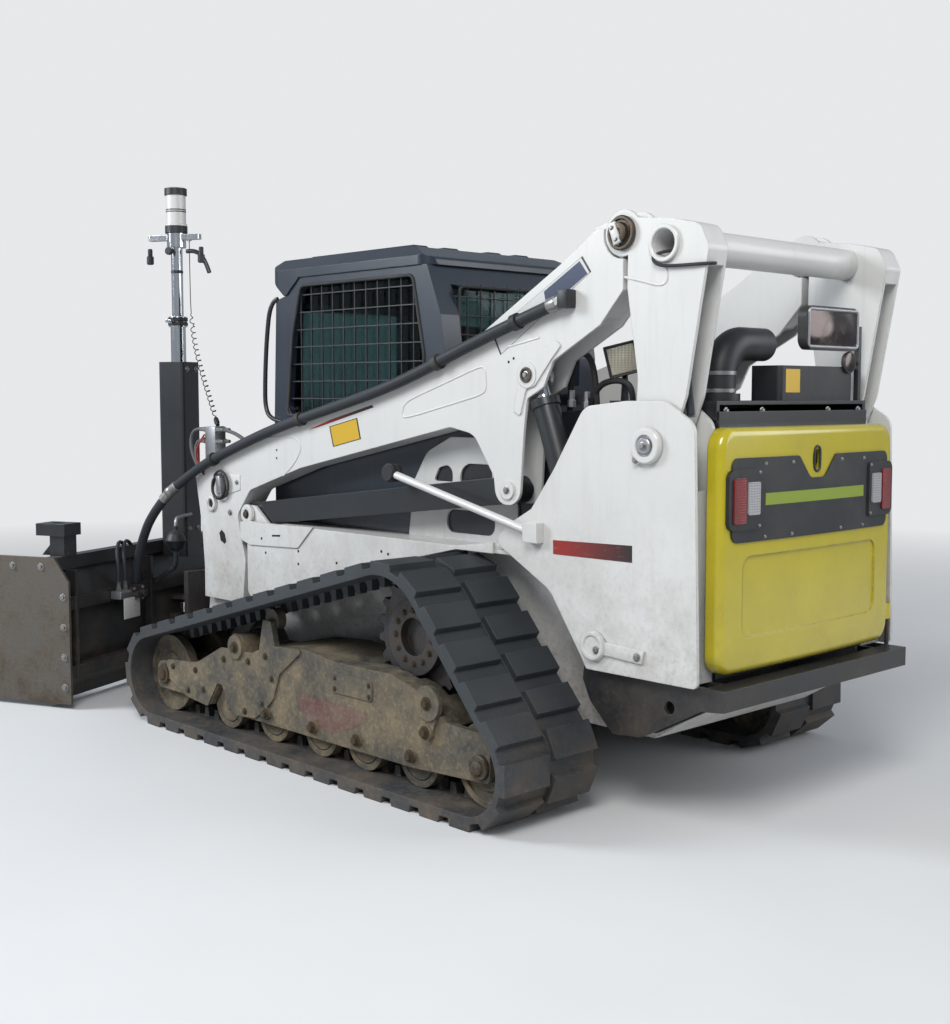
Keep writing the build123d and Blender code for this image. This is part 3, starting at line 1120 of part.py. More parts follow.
def make_door():
    """Front door frame."""
    x = CAB_FRONT + DOOR_GAP
    frame = block(x, x + DOOR_DEPTH, -DOOR_HALF, DOOR_HALF, DOOR_LOW, DOOR_HIGH)
    frame = fillet(frame.edges().filter_by(Axis.X), 60)
    # hinge barrels on the machine's right
    for z_low in (DOOR_LOW, DOOR_HIGH - HINGE_LENGTH):
        barrel = Pos(x + DOOR_DEPTH, -DOOR_HINGE_Y, z_low + HINGE_LENGTH / 2) * Cylinder(12, HINGE_LENGTH)
        frame += barrel
    for z_low in (DOOR_LOW, DOOR_HIGH - HINGE_LENGTH):
        bore = Pos(x + DOOR_DEPTH, -DOOR_HINGE_Y, z_low + HINGE_LENGTH / 2)
        frame -= bore * Cylinder(HINGE_PIN + RUNNING, HINGE_LENGTH + 2)
    opening = block(x - 1, x + DOOR_DEPTH + 1, DOOR_RAIL - DOOR_HALF, DOOR_HALF - DOOR_RAIL,
                    DOOR_LOW + DOOR_RAIL, DOOR_HIGH - DOOR_RAIL)
    frame -= fillet(opening.edges().filter_by(Axis.X), 40)
    return frame


def make_door_glass():
    """Pane of the front door."""
    x = CAB_FRONT + DOOR_GAP + DOOR_DEPTH / 2
    pane = block(x, x + GLASS, DOOR_RAIL - DOOR_HALF, DOOR_HALF - DOOR_RAIL,
                 DOOR_LOW + DOOR_RAIL, DOOR_HIGH - DOOR_RAIL)
    return fillet(pane.edges().filter_by(Axis.X), 40)


def make_seat():
    """Operator's seat: cushion, back and pedestal."""
    cushion = block(SEAT_X, SEAT_X + 440, -SEAT_HALF, SEAT_HALF, SEAT_Z, SEAT_Z + 110)
    cushion = fillet(cushion.edges().filter_by(Axis.Z), 60)
    back = block(-60, 50, 10 - SEAT_HALF, SEAT_HALF - 10, 0, 560)
    back = fillet(back.edges().filter_by(Axis.X), 70)
    back = Pos(SEAT_X - 10, 0, SEAT_Z + 90) * Rot(0, -8, 0) * back
    base = block(SEAT_X + 30, SEAT_X + 400, -150, 150, CAB_FLOOR + CAB_WALL, SEAT_Z)
    return cushion + back + base


def make_controls():
    """Left and right control boxes with their levers."""
    inner = SEAT_HALF + 32
    pod = block(SEAT_X + 100, SEAT_X + 460, inner, inner + 78, SEAT_Z + 120, SEAT_Z + 180)
    pod = fillet(pod.edges().filter_by(Axis.Z), 24)
    pod += block(SEAT_X + 140, SEAT_X + 180, inner + 18, inner + 58, CAB_FLOOR + CAB_WALL, SEAT_Z + 121)
    pod += Pos(SEAT_X + 420, inner + 38, SEAT_Z + 250) * Cylinder(22, 150)
    return both(pod)


# ================================================================ rear lid and small pieces
def make_radiator_grille():
    """Slotted screen behind the tailgate."""
    screen = block(COVER_REAR - 8, COVER_REAR, -COVER_HALF, COVER_HALF, 520, COVER_TOP - 10)
    for number in range(11):
        y = -350 + 70 * number
        screen -= block(COVER_REAR - 9, COVER_REAR + 1, y - 22, y + 22, 600, COVER_TOP - 70)
    return screen


def tail_skin(height):
    """Solid that ends at the tailgate's bowed face, raised by height."""
    return Pos(TAILGATE_REAR + TAILGATE_BOW, 0, 1000) * Cylinder(TAILGATE_BOW + height, 1200)


def on_tailgate(outline, low, high):
    """Piece on the tailgate's face, from its outline in the rear view (y, z)."""
    prism = extrude(Plane.YZ.offset(TAILGATE_REAR - 60) * outline, 130)
    return (prism & tail_skin(high)) - tail_skin(low)


def make_tailgate():
    """Rear door as a tray with a latch tongue over the panel and a shallow lower recess."""
    outer = block(TAILGATE_REAR - 9, TAILGATE_FRONT, -TAILGATE_HALF, TAILGATE_HALF,
                  TAILGATE_LOW, TAILGATE_HIGH)
    outer = fillet(outer.edges().filter_by(Axis.X), 70)
    outer = outer & tail_skin(0)
    outer = fillet(outer.faces().sort_by(Axis.X)[0].edges(), 26)
    inner = block(TAILGATE_REAR + TAILGATE_WALL, TAILGATE_FRONT + 1,
                  TAILGATE_WALL - TAILGATE_HALF, TAILGATE_HALF - TAILGATE_WALL,
                  TAILGATE_LOW + TAILGATE_WALL, TAILGATE_HIGH - TAILGATE_WALL)
    inner = fillet(inner.edges().filter_by(Axis.X), 56)
    tray = outer - (inner & tail_skin(-TAILGATE_WALL))
    recess = side_face(((-405, 662, 40), (-405, 925, 40), (405, 925, 40), (405, 662, 40)))
    tray -= on_tailgate(recess, -6, 30)
    tray -= on_tailgate(Pos(0, 1229) * SlotCenterToCenter(18, 48, rotation=90), -60, 30)
    # lower hinge knuckle on the machine's right
    x, y = TAIL_HINGE
    tray += block(x - 8, x + 24, y, 20 - TAILGATE_HALF, TAILGATE_LOW + 70, TAILGATE_LOW + 130)
    tray += Pos(x, y, TAILGATE_LOW + 100) * Cylinder(12, 60)
    return tray - Pos(x, y, TAILGATE_LOW + 100) * Cylinder(8 + RUNNING, 62)


def make_tail_panel():
    """Dark panel across the upper tailgate, cut out round the latch tongue."""
    panel = side_face(((-PANEL_HALF, 972, 30), (-PANEL_HALF, 1243, 30), (-112, 1243, 20), (-44, 1166, 36),
                       (44, 1166, 36), (112, 1243, 20), (PANEL_HALF, 1243, 30), (PANEL_HALF, 972, 30)))
    piece = on_tailgate(panel, 0, 6)
    for side in (-1, 1):
        bezel = side_face(((side * 330, 1012, 10), (side * 330, 1206, 10), (side * 498, 1206, 30),
                           (side * 498, 1012, 30)))
        piece += on_tailgate(bezel, 0, 14)
    return piece


def make_tail_lamps():
    """Red lamps with white ones beside them, at both ends of the dark panel."""
    parts = []
    # columns: inner edge, outer edge, lower z, upper z
    for y_in, y_out, z_low, z_high in ((LAMP_INNER, LAMP_INNER + 62, 1060, 1166),
                                       (LAMP_INNER + 72, LAMP_OUTER - 14, 1034, 1180)):
        for side in (-1, 1):
            face = side_face(((side * y_in, z_low, 8), (side * y_in, z_high, 8), (side * y_out, z_high, 8),
                              (side * y_out, z_low, 8)))
            parts += on_tailgate(face, 14, 20).solids()
    return Compound(children=parts)


def sweep_cord(route, radius):
    """Hose or cord along its route of straight runs and tangent bends."""
    runs = [math.dist(first, second) for first, second in zip(route, route[1:])]
    radii = []
    for number in range(1, len(route) - 1):
        before = Vector(*route[number]) - Vector(*route[number - 1])
        after = Vector(*route[number + 1]) - Vector(*route[number])
        half_turn = math.radians(before.get_angle(after)) / 2
        radii.append(0.45 * min(runs[number - 1], runs[number]) / math.tan(half_turn))
    line = FilletPolyline(*route, radius=radii)
    start = Plane(origin=route[0], z_dir=Vector(*route[1]) - Vector(*route[0]))
    cord = sweep(start * Circle(radius), path=line)
    filled = cord.volume / (math.pi * radius ** 2 * line.length)
    print(f"cord {line.length:.0f} long, bends {min(radii):.0f}, filled {filled:.4f}")
    return cord


def make_work_lamp():
    """Square work lamp behind the cab, on a stalk."""
    lamp = block(LAMP_X - 30, LAMP_X + 30, 330, 330 + LAMP_SIZE - 30, LAMP_Z - 75, LAMP_Z + 75)
    lamp = fillet(lamp.edges().filter_by(Axis.X), 18)
    lamp += block(LAMP_X - 10, LAMP_X + 10, 380, 400, COVER_TOP + 24, LAMP_Z - 74)
    return lamp


def make_arm_stop():
    """Stowed arm support bar on the left upright."""
    y = UPRIGHT_OUT + 19
    start = (10, y, 965)
    end = (770, y, 1142)
    bar = rod_between(start, end, 15)
    bar += Pos(*end) * Rot(90, 0, 0) * Cylinder(32, 36)
    bar += block(-30, 40, UPRIGHT_OUT, y + 16, 930, 1000)
    return bar


def build_nodes():
    """All nodes by name."""
    track = make_track()
    frame = make_track_frame()
    upright = make_upright()
    link, link_clip = make_rear_link()
    arm, arm_clips = make_lift_arm()
    end_plate = make_end_plate()
    end_plates = on_blade(end_plate).solids() + on_blade(mirrored(end_plate)).solids()
    return {
        "track_left": track,
        "track_right": mirrored(track),
        "track_frame_left": frame,
        "track_frame_right": mirrored(frame),
        "sprockets": both(make_sprocket()),
        "rollers": both(make_rollers()),
        "idlers": both(make_idlers()),
        "drive_motors": both(make_drive_motor()),
        "main_frame": make_main_frame(),
        "upright_left": upright,
        "upright_right": mirrored(upright),
        "rear_bumper": make_rear_bumper(),
        "engine_block": make_engine(),
        "engine_cover": make_engine_cover(),
        "exhaust_elbow": make_exhaust(),
        "filter_box": make_filter_box(),
        "rear_mirror": make_mirror(),
        "cab_shell": make_cab(),
        "cab_roof": make_cab_roof(),
        "cab_glass": make_cab_glass(),
        "window_screens": make_window_screens(),
        "cab_door": make_door(),
        "door_glass": make_door_glass(),
        "operator_chair": make_seat(),
        "controls": make_controls(),
        "work_lamp": make_work_lamp(),
        "arm_stop_bar": make_arm_stop(),
        "rear_link_left": link + link_clip,
        "rear_link_right": mirrored(link),
        "link_cross_tube": make_link_cross_tube(),
        "lift_arm_left": arm + arm_clips,
        "lift_arm_right": mirrored(arm),
        "arm_cross_member": make_arm_cross_member(),
        "control_links": both(make_control_link()),
        "lift_barrels": both(make_lift_barrel()),
        "lift_rods": both(make_lift_rod()),
        "coupler_plate": make_coupler(),
        "tilt_barrels": both(make_tilt_barrel()),
        "tilt_rods": both(make_tilt_rod()),
        "blade_frame": make_blade_frame() + make_angle_lugs(),
        "moldboard": make_moldboard() + make_mast_mount() + make_hose_manifold(),
        "end_plates": Compound(children=end_plates),
        "angle_barrel_left": make_angle_barrel(1),
        "angle_barrel_right": make_angle_barrel(-1),
        "angle_rod_left": make_angle_rod(1),
        "angle_rod_right": make_angle_rod(-1),
        "mast_housing": make_mast_base(),
        "mast_tube": make_mast_tube(),
        "mast_receiver": make_receiver(),
        "radiator_grille": make_radiator_grille(),
        "tailgate": make_tailgate(),
        "tail_panel": make_tail_panel(),
        "tail_lamps": make_tail_lamps(),
        "arm_hose": sweep_cord(ARM_HOSE, HOSE_RADIUS),
        "blade_hose": sweep_cord(BLADE_HOSE, HOSE_RADIUS),
        "mast_cord": sweep_cord(MAST_CORD, MAST_CORD_RADIUS),
        "link_hose": sweep_cord(LINK_HOSE, LINK_HOSE_RADIUS),
    }


nodes = build_nodes()
whole = Compound(children=[solid for part in nodes.values() for solid in part.solids()]).bounding_box()
SHIFT_X = -(whole.min.X + whole.max.X) / 2
SHIFT_Y = -(whole.min.Y + whole.max.Y) / 2
os.makedirs("parts", exist_ok=True)
for name, part in nodes.items():
    placed = [Pos(SHIFT_X, SHIFT_Y, 0) * solid for solid in part.solids()]
    export_step(placed[0] if len(placed) == 1 else Compound(children=placed), f"parts/{name}.step")
print(f"shift {SHIFT_X:.3f} {SHIFT_Y:.3f}")
print(f"size {whole.size.X:.1f} {whole.size.Y:.1f} {whole.size.Z:.1f}, lowest {whole.min.Z:.3f}")
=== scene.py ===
import math

import bmesh
import bpy
from mathutils import Matrix, Quaternion, Vector


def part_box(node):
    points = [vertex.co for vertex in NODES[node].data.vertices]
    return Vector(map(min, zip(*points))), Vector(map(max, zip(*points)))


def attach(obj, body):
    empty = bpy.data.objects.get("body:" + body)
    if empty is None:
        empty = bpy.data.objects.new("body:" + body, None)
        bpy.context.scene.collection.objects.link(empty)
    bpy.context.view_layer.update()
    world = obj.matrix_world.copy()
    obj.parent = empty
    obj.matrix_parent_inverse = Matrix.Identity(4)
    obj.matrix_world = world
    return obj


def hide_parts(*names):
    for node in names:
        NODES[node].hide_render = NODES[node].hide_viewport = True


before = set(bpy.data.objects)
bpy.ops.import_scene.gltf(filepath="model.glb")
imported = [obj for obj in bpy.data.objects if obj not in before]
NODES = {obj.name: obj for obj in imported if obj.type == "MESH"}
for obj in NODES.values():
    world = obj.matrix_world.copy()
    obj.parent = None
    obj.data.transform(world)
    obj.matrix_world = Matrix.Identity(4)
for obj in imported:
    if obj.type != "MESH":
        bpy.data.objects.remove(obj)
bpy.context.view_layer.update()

# ---------------------------------------------------------------- places
# The machine's own axes: x forward from the tracks' rear contact, y left from the middle, z up.
CROSS_TUBE_X = -0.536


def centre_of(node):
    """Middle of a node's box."""
    low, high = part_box(node)
    return (low + high) / 2


tube = centre_of("link_cross_tube")
SHIFT = Vector((tube.x - CROSS_TUBE_X, tube.y, 0.0))


def spot(x, y, z):
    """A place given in the machine's own axes."""
    return Vector((x, y, z)) + SHIFT


ARM_FACE = 0.58
LINK_FACE = 0.578
UPRIGHT_FACE = 0.597
BEAM_FACE = 0.922
LENS_SPLIT = 0.412
TAIL_REAR = 0.738
TAIL_BOW = 9.6
BLADE_PIVOT = 2.93
BLADE_TURN = math.radians(25.0)
BLADE_FRONT = 0.18
BLADE_HALF = 1.2
MAST_FORWARD = BLADE_FRONT - 0.062 - 0.075
MAST_LEFT = 0.3
BALL = (-0.05, 0.494, 0.716)


def on_blade(forward, left, z):
    """A place given along and across the angled blade, from its pivot."""
    turn_x, turn_y = math.cos(BLADE_TURN), math.sin(BLADE_TURN)
    return spot(BLADE_PIVOT + forward * turn_x - left * turn_y, forward * turn_y + left * turn_x, z)


def on_tailgate(y, z, height):
    """A place on the tailgate's bowed face, or height behind it."""
    return spot(y * y / (2 * TAIL_BOW) - TAIL_REAR - height, y, z)


# ---------------------------------------------------------------- node groups
def give(slot, value):
    """Feed an input from a socket, or set it to a number, a vector or a colour."""
    if isinstance(value, bpy.types.NodeSocket):
        slot.id_data.links.new(value, slot)
    elif slot.type == "RGBA" and len(value) == 3:
        slot.default_value = (*value, 1.0)
    else:
        slot.default_value = value


def feed(made, **values):
    """Give a node's inputs their values, each named with _ for a space."""
    for label, value in values.items():
        give(made.inputs[label.replace("_", " ")], value)


def node(tree, kind, **settings):
    """Add a node; a setting is an attribute, or else the value of the input it names."""
    made = tree.nodes.new(kind)
    for label, value in settings.items():
        if hasattr(made, label):
            setattr(made, label, value)
        else:
            feed(made, **{label: value})
    return made


def new_group(name, inputs, *outputs):
    """Node group with named sockets, and its input and output nodes."""
    tree = bpy.data.node_groups.new(name, "ShaderNodeTree")
    for label, value in inputs.items():
        socket = tree.interface.new_socket(label, in_out="INPUT", socket_type="NodeSocketFloat")
        socket.default_value = value
    for label in outputs:
        kind = "NodeSocketVector" if label == "Normal" else "NodeSocketFloat"
        tree.interface.new_socket(label, in_out="OUTPUT", socket_type=kind)
    return tree, tree.nodes.new("NodeGroupInput").outputs, tree.nodes.new("NodeGroupOutput")


def calc(tree, operation, first, second=None, clamp=False):
    """Maths node on sockets or numbers."""
    made = node(tree, "ShaderNodeMath", operation=operation, use_clamp=clamp)
    give(made.inputs[0], first)
    if second is not None:
        give(made.inputs[1], second)
    return made.outputs[0]


def spread(tree, value, low, high, to_low=0.0, to_high=1.0):
    """Map a range of a value onto another, clamped."""
    ends = {"From_Min": low, "From_Max": high, "To_Min": to_low, "To_Max": to_high}
    return node(tree, "ShaderNodeMapRange", Value=value, **ends).outputs["Result"]


def own_place(tree):
    """The piece's own coordinates."""
    return node(tree, "ShaderNodeTexCoord").outputs["Object"]


def along(tree, axis):
    """The piece's own coordinate along an axis."""
    return node(tree, "ShaderNodeSeparateXYZ", Vector=own_place(tree)).outputs[axis]


def noise(tree, scale, detail, rough, stretch=None):
    """Noise on the piece's own coordinates, stretched along the axes where given."""
    place = own_place(tree)
    if stretch:
        place = node(tree, "ShaderNodeMapping", Scale=stretch, Vector=place).outputs["Vector"]
    made = node(tree, "ShaderNodeTexNoise", Scale=scale, Detail=detail, Roughness=rough, Vector=place)
    return made.outputs["Fac"]


def coats(tree, base, *layers):
    """Colours laid over a base. Layers: mask, colour."""
    for mask, colour in layers:
        made = node(tree, "ShaderNodeMix", data_type="RGBA")
        for slot, value in ((0, mask), (6, base), (7, colour)):
            give(made.inputs[slot], value)
        base = made.outputs[2]
    return base


def tint(colour, share, more=0.0):
    """Colour made lighter or darker."""
    return tuple(min(1.0, part * share + more) for part in colour)


def build_edges():
    """Worn edges: a mask along the edges, and a normal that rounds them."""
    tree, start, end = new_group("worn_edges", {"Radius": 0.004, "Amount": 0.5}, "Mask", "Normal")
    rounded = node(tree, "ShaderNodeBevel", samples=6, Radius=start["Radius"]).outputs["Normal"]
    dot = node(tree, "ShaderNodeVectorMath", operation="DOT_PRODUCT")
    give(dot.inputs[0], rounded)
    give(dot.inputs[1], node(tree, "ShaderNodeNewGeometry").outputs["Normal"])
    edge = spread(tree, calc(tree, "SUBTRACT", 1.0, dot.outputs["Value"]), 0.02, 0.16)
    patches = spread(tree, noise(tree, 38.0, 6.0, 0.75), 0.42, 0.62)
    mask = calc(tree, "MULTIPLY", edge, patches)
    feed(end, Mask=calc(tree, "MULTIPLY", mask, start["Amount"], clamp=True), Normal=rounded)
    return tree


def build_mud():
    """Dried earth: thick below Full, gone above Top, in patches and specks."""
    tree, start, end = new_group("dried_earth", {"Full": 0.0, "Top": 0.8, "Amount": 0.5}, "Mask")
    low_down = spread(tree, along(tree, "Z"), start["Full"], start["Top"], 1.0, 0.0)
    patches = spread(tree, noise(tree, 5.5, 7.0, 0.7), 0.38, 0.66)
    specks = spread(tree, noise(tree, 60.0, 3.0, 0.6), 0.5, 0.68)
    both = calc(tree, "ADD", patches, calc(tree, "MULTIPLY", specks, 0.45))
    mask = calc(tree, "MULTIPLY", both, low_down)
    feed(end, Mask=calc(tree, "MULTIPLY", mask, start["Amount"], clamp=True))
    return tree


def build_streaks():
    """Rain and dust runs down upright faces."""
    tree, start, end = new_group("rain_runs", {"Amount": 0.4}, "Mask")
    runs = spread(tree, noise(tree, 1.0, 5.0, 0.65, (26.0, 26.0, 1.6)), 0.5, 0.72)
    broad = spread(tree, noise(tree, 2.2, 3.0, 0.6), 0.35, 0.7)
    mask = calc(tree, "MULTIPLY", runs, broad)
    feed(end, Mask=calc(tree, "MULTIPLY", mask, start["Amount"], clamp=True))
    return tree


def build_grain():
    """Fine height of sprayed paint or moulded plastic."""
    tree, start, end = new_group("surface_grain", {"Coarse": 0.3}, "Height", "Tone")
    fine = calc(tree, "MULTIPLY", noise(tree, 420.0, 2.0, 0.5), 0.35)
    coarse = calc(tree, "MULTIPLY", noise(tree, 22.0, 4.0, 0.6), start["Coarse"])
    tone = spread(tree, noise(tree, 3.1, 5.0, 0.65), 0.3, 0.7)
    feed(end, Height=calc(tree, "ADD", fine, coarse), Tone=tone)
    return tree


EDGES = build_edges()
MUD = build_mud()
STREAKS = build_streaks()
GRAIN = build_grain()
EARTH = (0.155, 0.115, 0.078)
DUST = (0.26, 0.225, 0.18)


def use_group(tree, group, **values):
    """Outputs of a group placed in a material with its own values."""
    made = node(tree, "ShaderNodeGroup", node_tree=group)
    feed(made, **values)
    return tuple(made.outputs)


def new_material(name, **constants):
    """Material with its node tree and its Principled shader."""
    material = bpy.data.materials.new(name)
    material.use_nodes = True
    shader = material.node_tree.nodes["Principled BSDF"]
    feed(shader, **constants)
    return material, material.node_tree, shader


def bumps(tree, height, strength, distance, **normal):
    """Bump from a height, on top of a normal where given."""
    made = node(tree, "ShaderNodeBump", Strength=strength, Distance=distance, Height=height, **normal)
    return made.outputs["Normal"]


def paint(name, colour, roughness, coat, under, wear, radius, streaks, mud, mud_full=0.05, mud_top=0.9,
          earth=EARTH, grain=0.25, tone=0.12):
    """Sprayed paint with worn edges, rain runs and dried earth low down."""
    material, tree, shader = new_material(name, Metallic=0.0, Coat_Roughness=0.18)
    height, fleck = use_group(tree, GRAIN, Coarse=grain)
    worn, rounded = use_group(tree, EDGES, Radius=radius, Amount=wear)
    runs, = use_group(tree, STREAKS, Amount=streaks)
    dirt, = use_group(tree, MUD, Full=mud_full, Top=mud_top, Amount=mud)
    dusty = tuple(0.5 * (a + b) for a, b in zip(colour, DUST))
    base = coats(tree, colour, (fleck, tint(colour, 1.0 - tone)), (runs, dusty), (worn, under), (dirt, earth))
    rough = spread(tree, fleck, 0.0, 1.0, roughness - 0.05, roughness + 0.07)
    rough = calc(tree, "ADD", rough, calc(tree, "MULTIPLY", dirt, 0.5), clamp=True)
    height = calc(tree, "ADD", height, calc(tree, "MULTIPLY", dirt, 1.2))
    feed(shader, Base_Color=base, Roughness=rough, Coat_Weight=spread(tree, dirt, 0.0, 0.6, coat, 0.0),
         Normal=bumps(tree, height, 0.22, 0.0012, Normal=rounded))
    return material


def rubber(name, colour, dust, dust_top):
    """Track rubber: dull, with a fine grain, dusty low down."""
    material, tree, shader = new_material(name, Specular_IOR_Level=0.42)
    height, fleck = use_group(tree, GRAIN, Coarse=0.6)
    worn, rounded = use_group(tree, EDGES, Radius=0.005, Amount=0.7)
    dirt, = use_group(tree, MUD, Full=0.02, Top=dust_top, Amount=dust)
    base = coats(tree, colour, (fleck, tint(colour, 1.7)), (worn, (0.085, 0.09, 0.095)), (dirt, EARTH))
    rough = spread(tree, fleck, 0.0, 1.0, 0.52, 0.68)
    rough = calc(tree, "ADD", rough, calc(tree, "MULTIPLY", dirt, 0.3), clamp=True)
    feed(shader, Base_Color=base, Roughness=rough, Normal=bumps(tree, height, 0.35, 0.002, Normal=rounded))
    return material


def bare_metal(name, colour, roughness, brushed, dirt_amount, rust=0.0, radius=0.003):
    """Bare or machined metal with a brushed sheen."""
    material, tree, shader = new_material(name, Metallic=1.0)
    lines = noise(tree, 6.0, 3.0, 0.7, brushed)
    worn, rounded = use_group(tree, EDGES, Radius=radius, Amount=0.6)
    dirt, = use_group(tree, MUD, Full=0.05, Top=1.6, Amount=dirt_amount)
    spots_of_rust = calc(tree, "MULTIPLY", spread(tree, noise(tree, 14.0, 7.0, 0.75), 0.55, 0.7), rust)
    base = coats(tree, colour, (lines, tint(colour, 0.72)), (spots_of_rust, (0.16, 0.07, 0.03)),
                 (worn, tint(colour, 1.5)), (dirt, EARTH))
    rough = spread(tree, lines, 0.3, 0.7, roughness - 0.08, roughness + 0.1)
    feed(shader, Base_Color=base, Roughness=calc(tree, "ADD", rough, dirt, clamp=True),
         Normal=bumps(tree, lines, 0.12, 0.0006, Normal=rounded))
    return material


def plastic(name, colour, roughness, grain=0.2, dust=0.15):
    """Moulded plastic with a fine grain and a film of dust."""
    material, tree, shader = new_material(name)
    height, fleck = use_group(tree, GRAIN, Coarse=grain)
    worn, rounded = use_group(tree, EDGES, Radius=0.002, Amount=0.3)
    haze = spread(tree, noise(tree, 4.0, 6.0, 0.7), 0.45, 0.7, 0.0, dust)
    base = coats(tree, colour, (fleck, tint(colour, 1.35, 0.002)), (worn, tint(colour, 2.0, 0.03)),
        (haze, DUST))
    feed(shader, Base_Color=base, Roughness=spread(tree, fleck, 0.0, 1.0, roughness - 0.06, roughness + 0.08),
         Normal=bumps(tree, height, 0.25, 0.0008, Normal=rounded))
    return material


def glass(name, colour):
    """Tinted pane with dust and wiper smears."""
    material, tree, shader = new_material(name, Metallic=0.0, Transmission_Weight=1.0, IOR=1.25)
    haze = spread(tree, noise(tree, 3.0, 6.0, 0.7, (1.0, 1.0, 2.5)), 0.42, 0.75, 0.0, 0.5)
    feed(shader, Base_Color=coats(tree, colour, (haze, tint(colour, 0.8))),
         Roughness=spread(tree, haze, 0.0, 1.0, 0.04, 0.39))
    return material


def lens(name, outer, inner):
    """Moulded lamp lens with fine prisms, in one colour near the machine's side and one further in."""
    material, tree, shader = new_material(name, Coat_Weight=1.0, Coat_Roughness=0.05)
    off_middle = calc(tree, "ABSOLUTE", calc(tree, "SUBTRACT", along(tree, "Y"), SHIFT.y))
    is_outer = calc(tree, "GREATER_THAN", off_middle, LENS_SPLIT)
    prisms = node(tree, "ShaderNodeTexVoronoi", distance="CHEBYCHEV", Vector=own_place(tree), Scale=120.0,
                  Randomness=0.0).outputs["Distance"]
    base = coats(tree, inner, (is_outer, outer), (spread(tree, prisms, 0.1, 0.6, 0.0, 0.6),
        (0.03, 0.02, 0.02)))
    feed(shader, Base_Color=base, Roughness=spread(tree, prisms, 0.0, 0.6, 0.12, 0.3),
         Normal=bumps(tree, prisms, 0.5, 0.003))
    return material


def mirror_glass(name):
    """Silvered glass with a film of dust."""
    material, tree, shader = new_material(name, Metallic=1.0, Base_Color=(0.11, 0.09, 0.085))
    feed(shader, Roughness=spread(tree, noise(tree, 9.0, 6.0, 0.7), 0.45, 0.75, 0.12, 0.45))
    return material


def label(name, stops, reach=(0.0, 1.0), mud=0.25):
    """Printed film: colours along x between two places, scuffed and dusty."""
    material, tree, shader = new_material(name, Coat_Weight=0.2)
    share = spread(tree, along(tree, "X"), SHIFT.x + reach[0], SHIFT.x + reach[1])
    ramp = node(tree, "ShaderNodeValToRGB", Fac=share)
    elements = ramp.color_ramp.elements
    while len(elements) < len(stops):
        elements.new(0.5)
    for element, (position, colour) in zip(elements, stops):
        element.position = position
        element.color = (*colour, 1.0)
    scuffs = spread(tree, noise(tree, 70.0, 6.0, 0.8, (0.3, 1.0, 1.0)), 0.6, 0.72, 0.0, 0.5)
    dirt, = use_group(tree, MUD, Full=0.2, Top=1.2, Amount=mud)
    feed(shader, Base_Color=coats(tree, ramp.outputs["Color"], (scuffs, DUST), (dirt, EARTH)),
         Roughness=spread(tree, scuffs, 0.0, 0.5, 0.35, 0.7))
    return material


WHITE = paint("off_white_paint", (0.6, 0.6, 0.585), 0.36, 0.35, (0.07, 0.065, 0.06), 0.45, 0.005, 0.45, 0.55,
              0.3, 1.15, tone=0.08)
NAVY = paint("charcoal_paint", (0.011, 0.019, 0.033), 0.34, 0.3, (0.1, 0.11, 0.12), 0.5, 0.005, 0.12, 0.12)
BLACK = paint("black_paint", (0.01, 0.012, 0.015), 0.4, 0.2, (0.1, 0.1, 0.1), 0.55, 0.004, 0.06, 0.35)
YELLOW = paint("yellow_paint", (0.5, 0.415, 0.01), 0.2, 0.8, (0.1, 0.09, 0.04), 0.55, 0.008, 0.08, 0.18,
               0.5, 0.95, tone=0.18)
EARTHY = paint("earthy_paint", (0.038, 0.038, 0.033), 0.6, 0.05, (0.12, 0.1, 0.07), 0.5, 0.005, 0.3, 0.95,
               0.3, 1.0, earth=(0.19, 0.15, 0.095), grain=0.6)
STEEL_GREY = bare_metal("grey_steel", (0.42, 0.43, 0.45), 0.42, (3.0, 3.0, 60.0), 0.3, 0.25)
PLATE_STEEL = bare_metal("scoured_plate", (0.2, 0.185, 0.165), 0.46, (3.0, 3.0, 60.0), 0.5, 0.35)
CHROME = bare_metal("rod_chrome", (0.78, 0.8, 0.83), 0.14, (60.0, 60.0, 3.0), 0.03)
DARK_STEEL = bare_metal("worn_dark_steel", (0.1, 0.1, 0.105), 0.48, (20.0, 20.0, 20.0), 0.4, 0.5)
RUBBER = rubber("track_rubber", (0.022, 0.026, 0.03), 0.55, 0.5)
ENGINE = plastic("engine_casting", (0.05, 0.05, 0.052), 0.6, 0.5, 0.4)
BLACK_PLASTIC = plastic("black_plastic", (0.008, 0.01, 0.012), 0.46, dust=0.07)
MIRROR_SHELL = plastic("mirror_shell", (0.014, 0.015, 0.017), 0.45)
GLASS = glass("tinted_glass", (0.15, 0.23, 0.235))
TAIL_LENS = lens("tail_lens", (0.26, 0.01, 0.01), (0.42, 0.43, 0.44))
WORK_LENS = lens("work_lens", (0.62, 0.58, 0.44), (0.62, 0.58, 0.44))
HOSE = rubber("hose_rubber", (0.014, 0.017, 0.021), 0.12, 0.2)
GASKET = plastic("window_gasket", (0.008, 0.009, 0.01), 0.62)
GREASE = bare_metal("greasy_steel", (0.12, 0.105, 0.085), 0.5, (30.0, 30.0, 30.0), 0.5, 0.8)
BOLT = bare_metal("plated_bolts", (0.36, 0.36, 0.35), 0.4, (40.0, 40.0, 40.0), 0.3, 0.35, 0.0015)
EARTHY_BOLT = bare_metal("earthy_bolts", (0.14, 0.13, 0.11), 0.6, (40.0, 40.0, 40.0), 1.2, 0.6, 0.002)
MIRROR = mirror_glass("mirror_glass")
BRAID = rubber("braided_hose", (0.06, 0.062, 0.064), 0.1, 0.2)
RED_WIRE = plastic("red_wire", (0.2, 0.012, 0.01), 0.45)
# near-black film that is painted shade in the mouths of holes, slots and bores
HOLE_SHADOW = plastic("hole_shadow", (0.004, 0.004, 0.004), 0.9, 0.1, 0.02)
LABEL_WHITE = label("blank_white_label", ((0.0, (0.52, 0.52, 0.51)), (1.0, (0.5, 0.5, 0.49))))
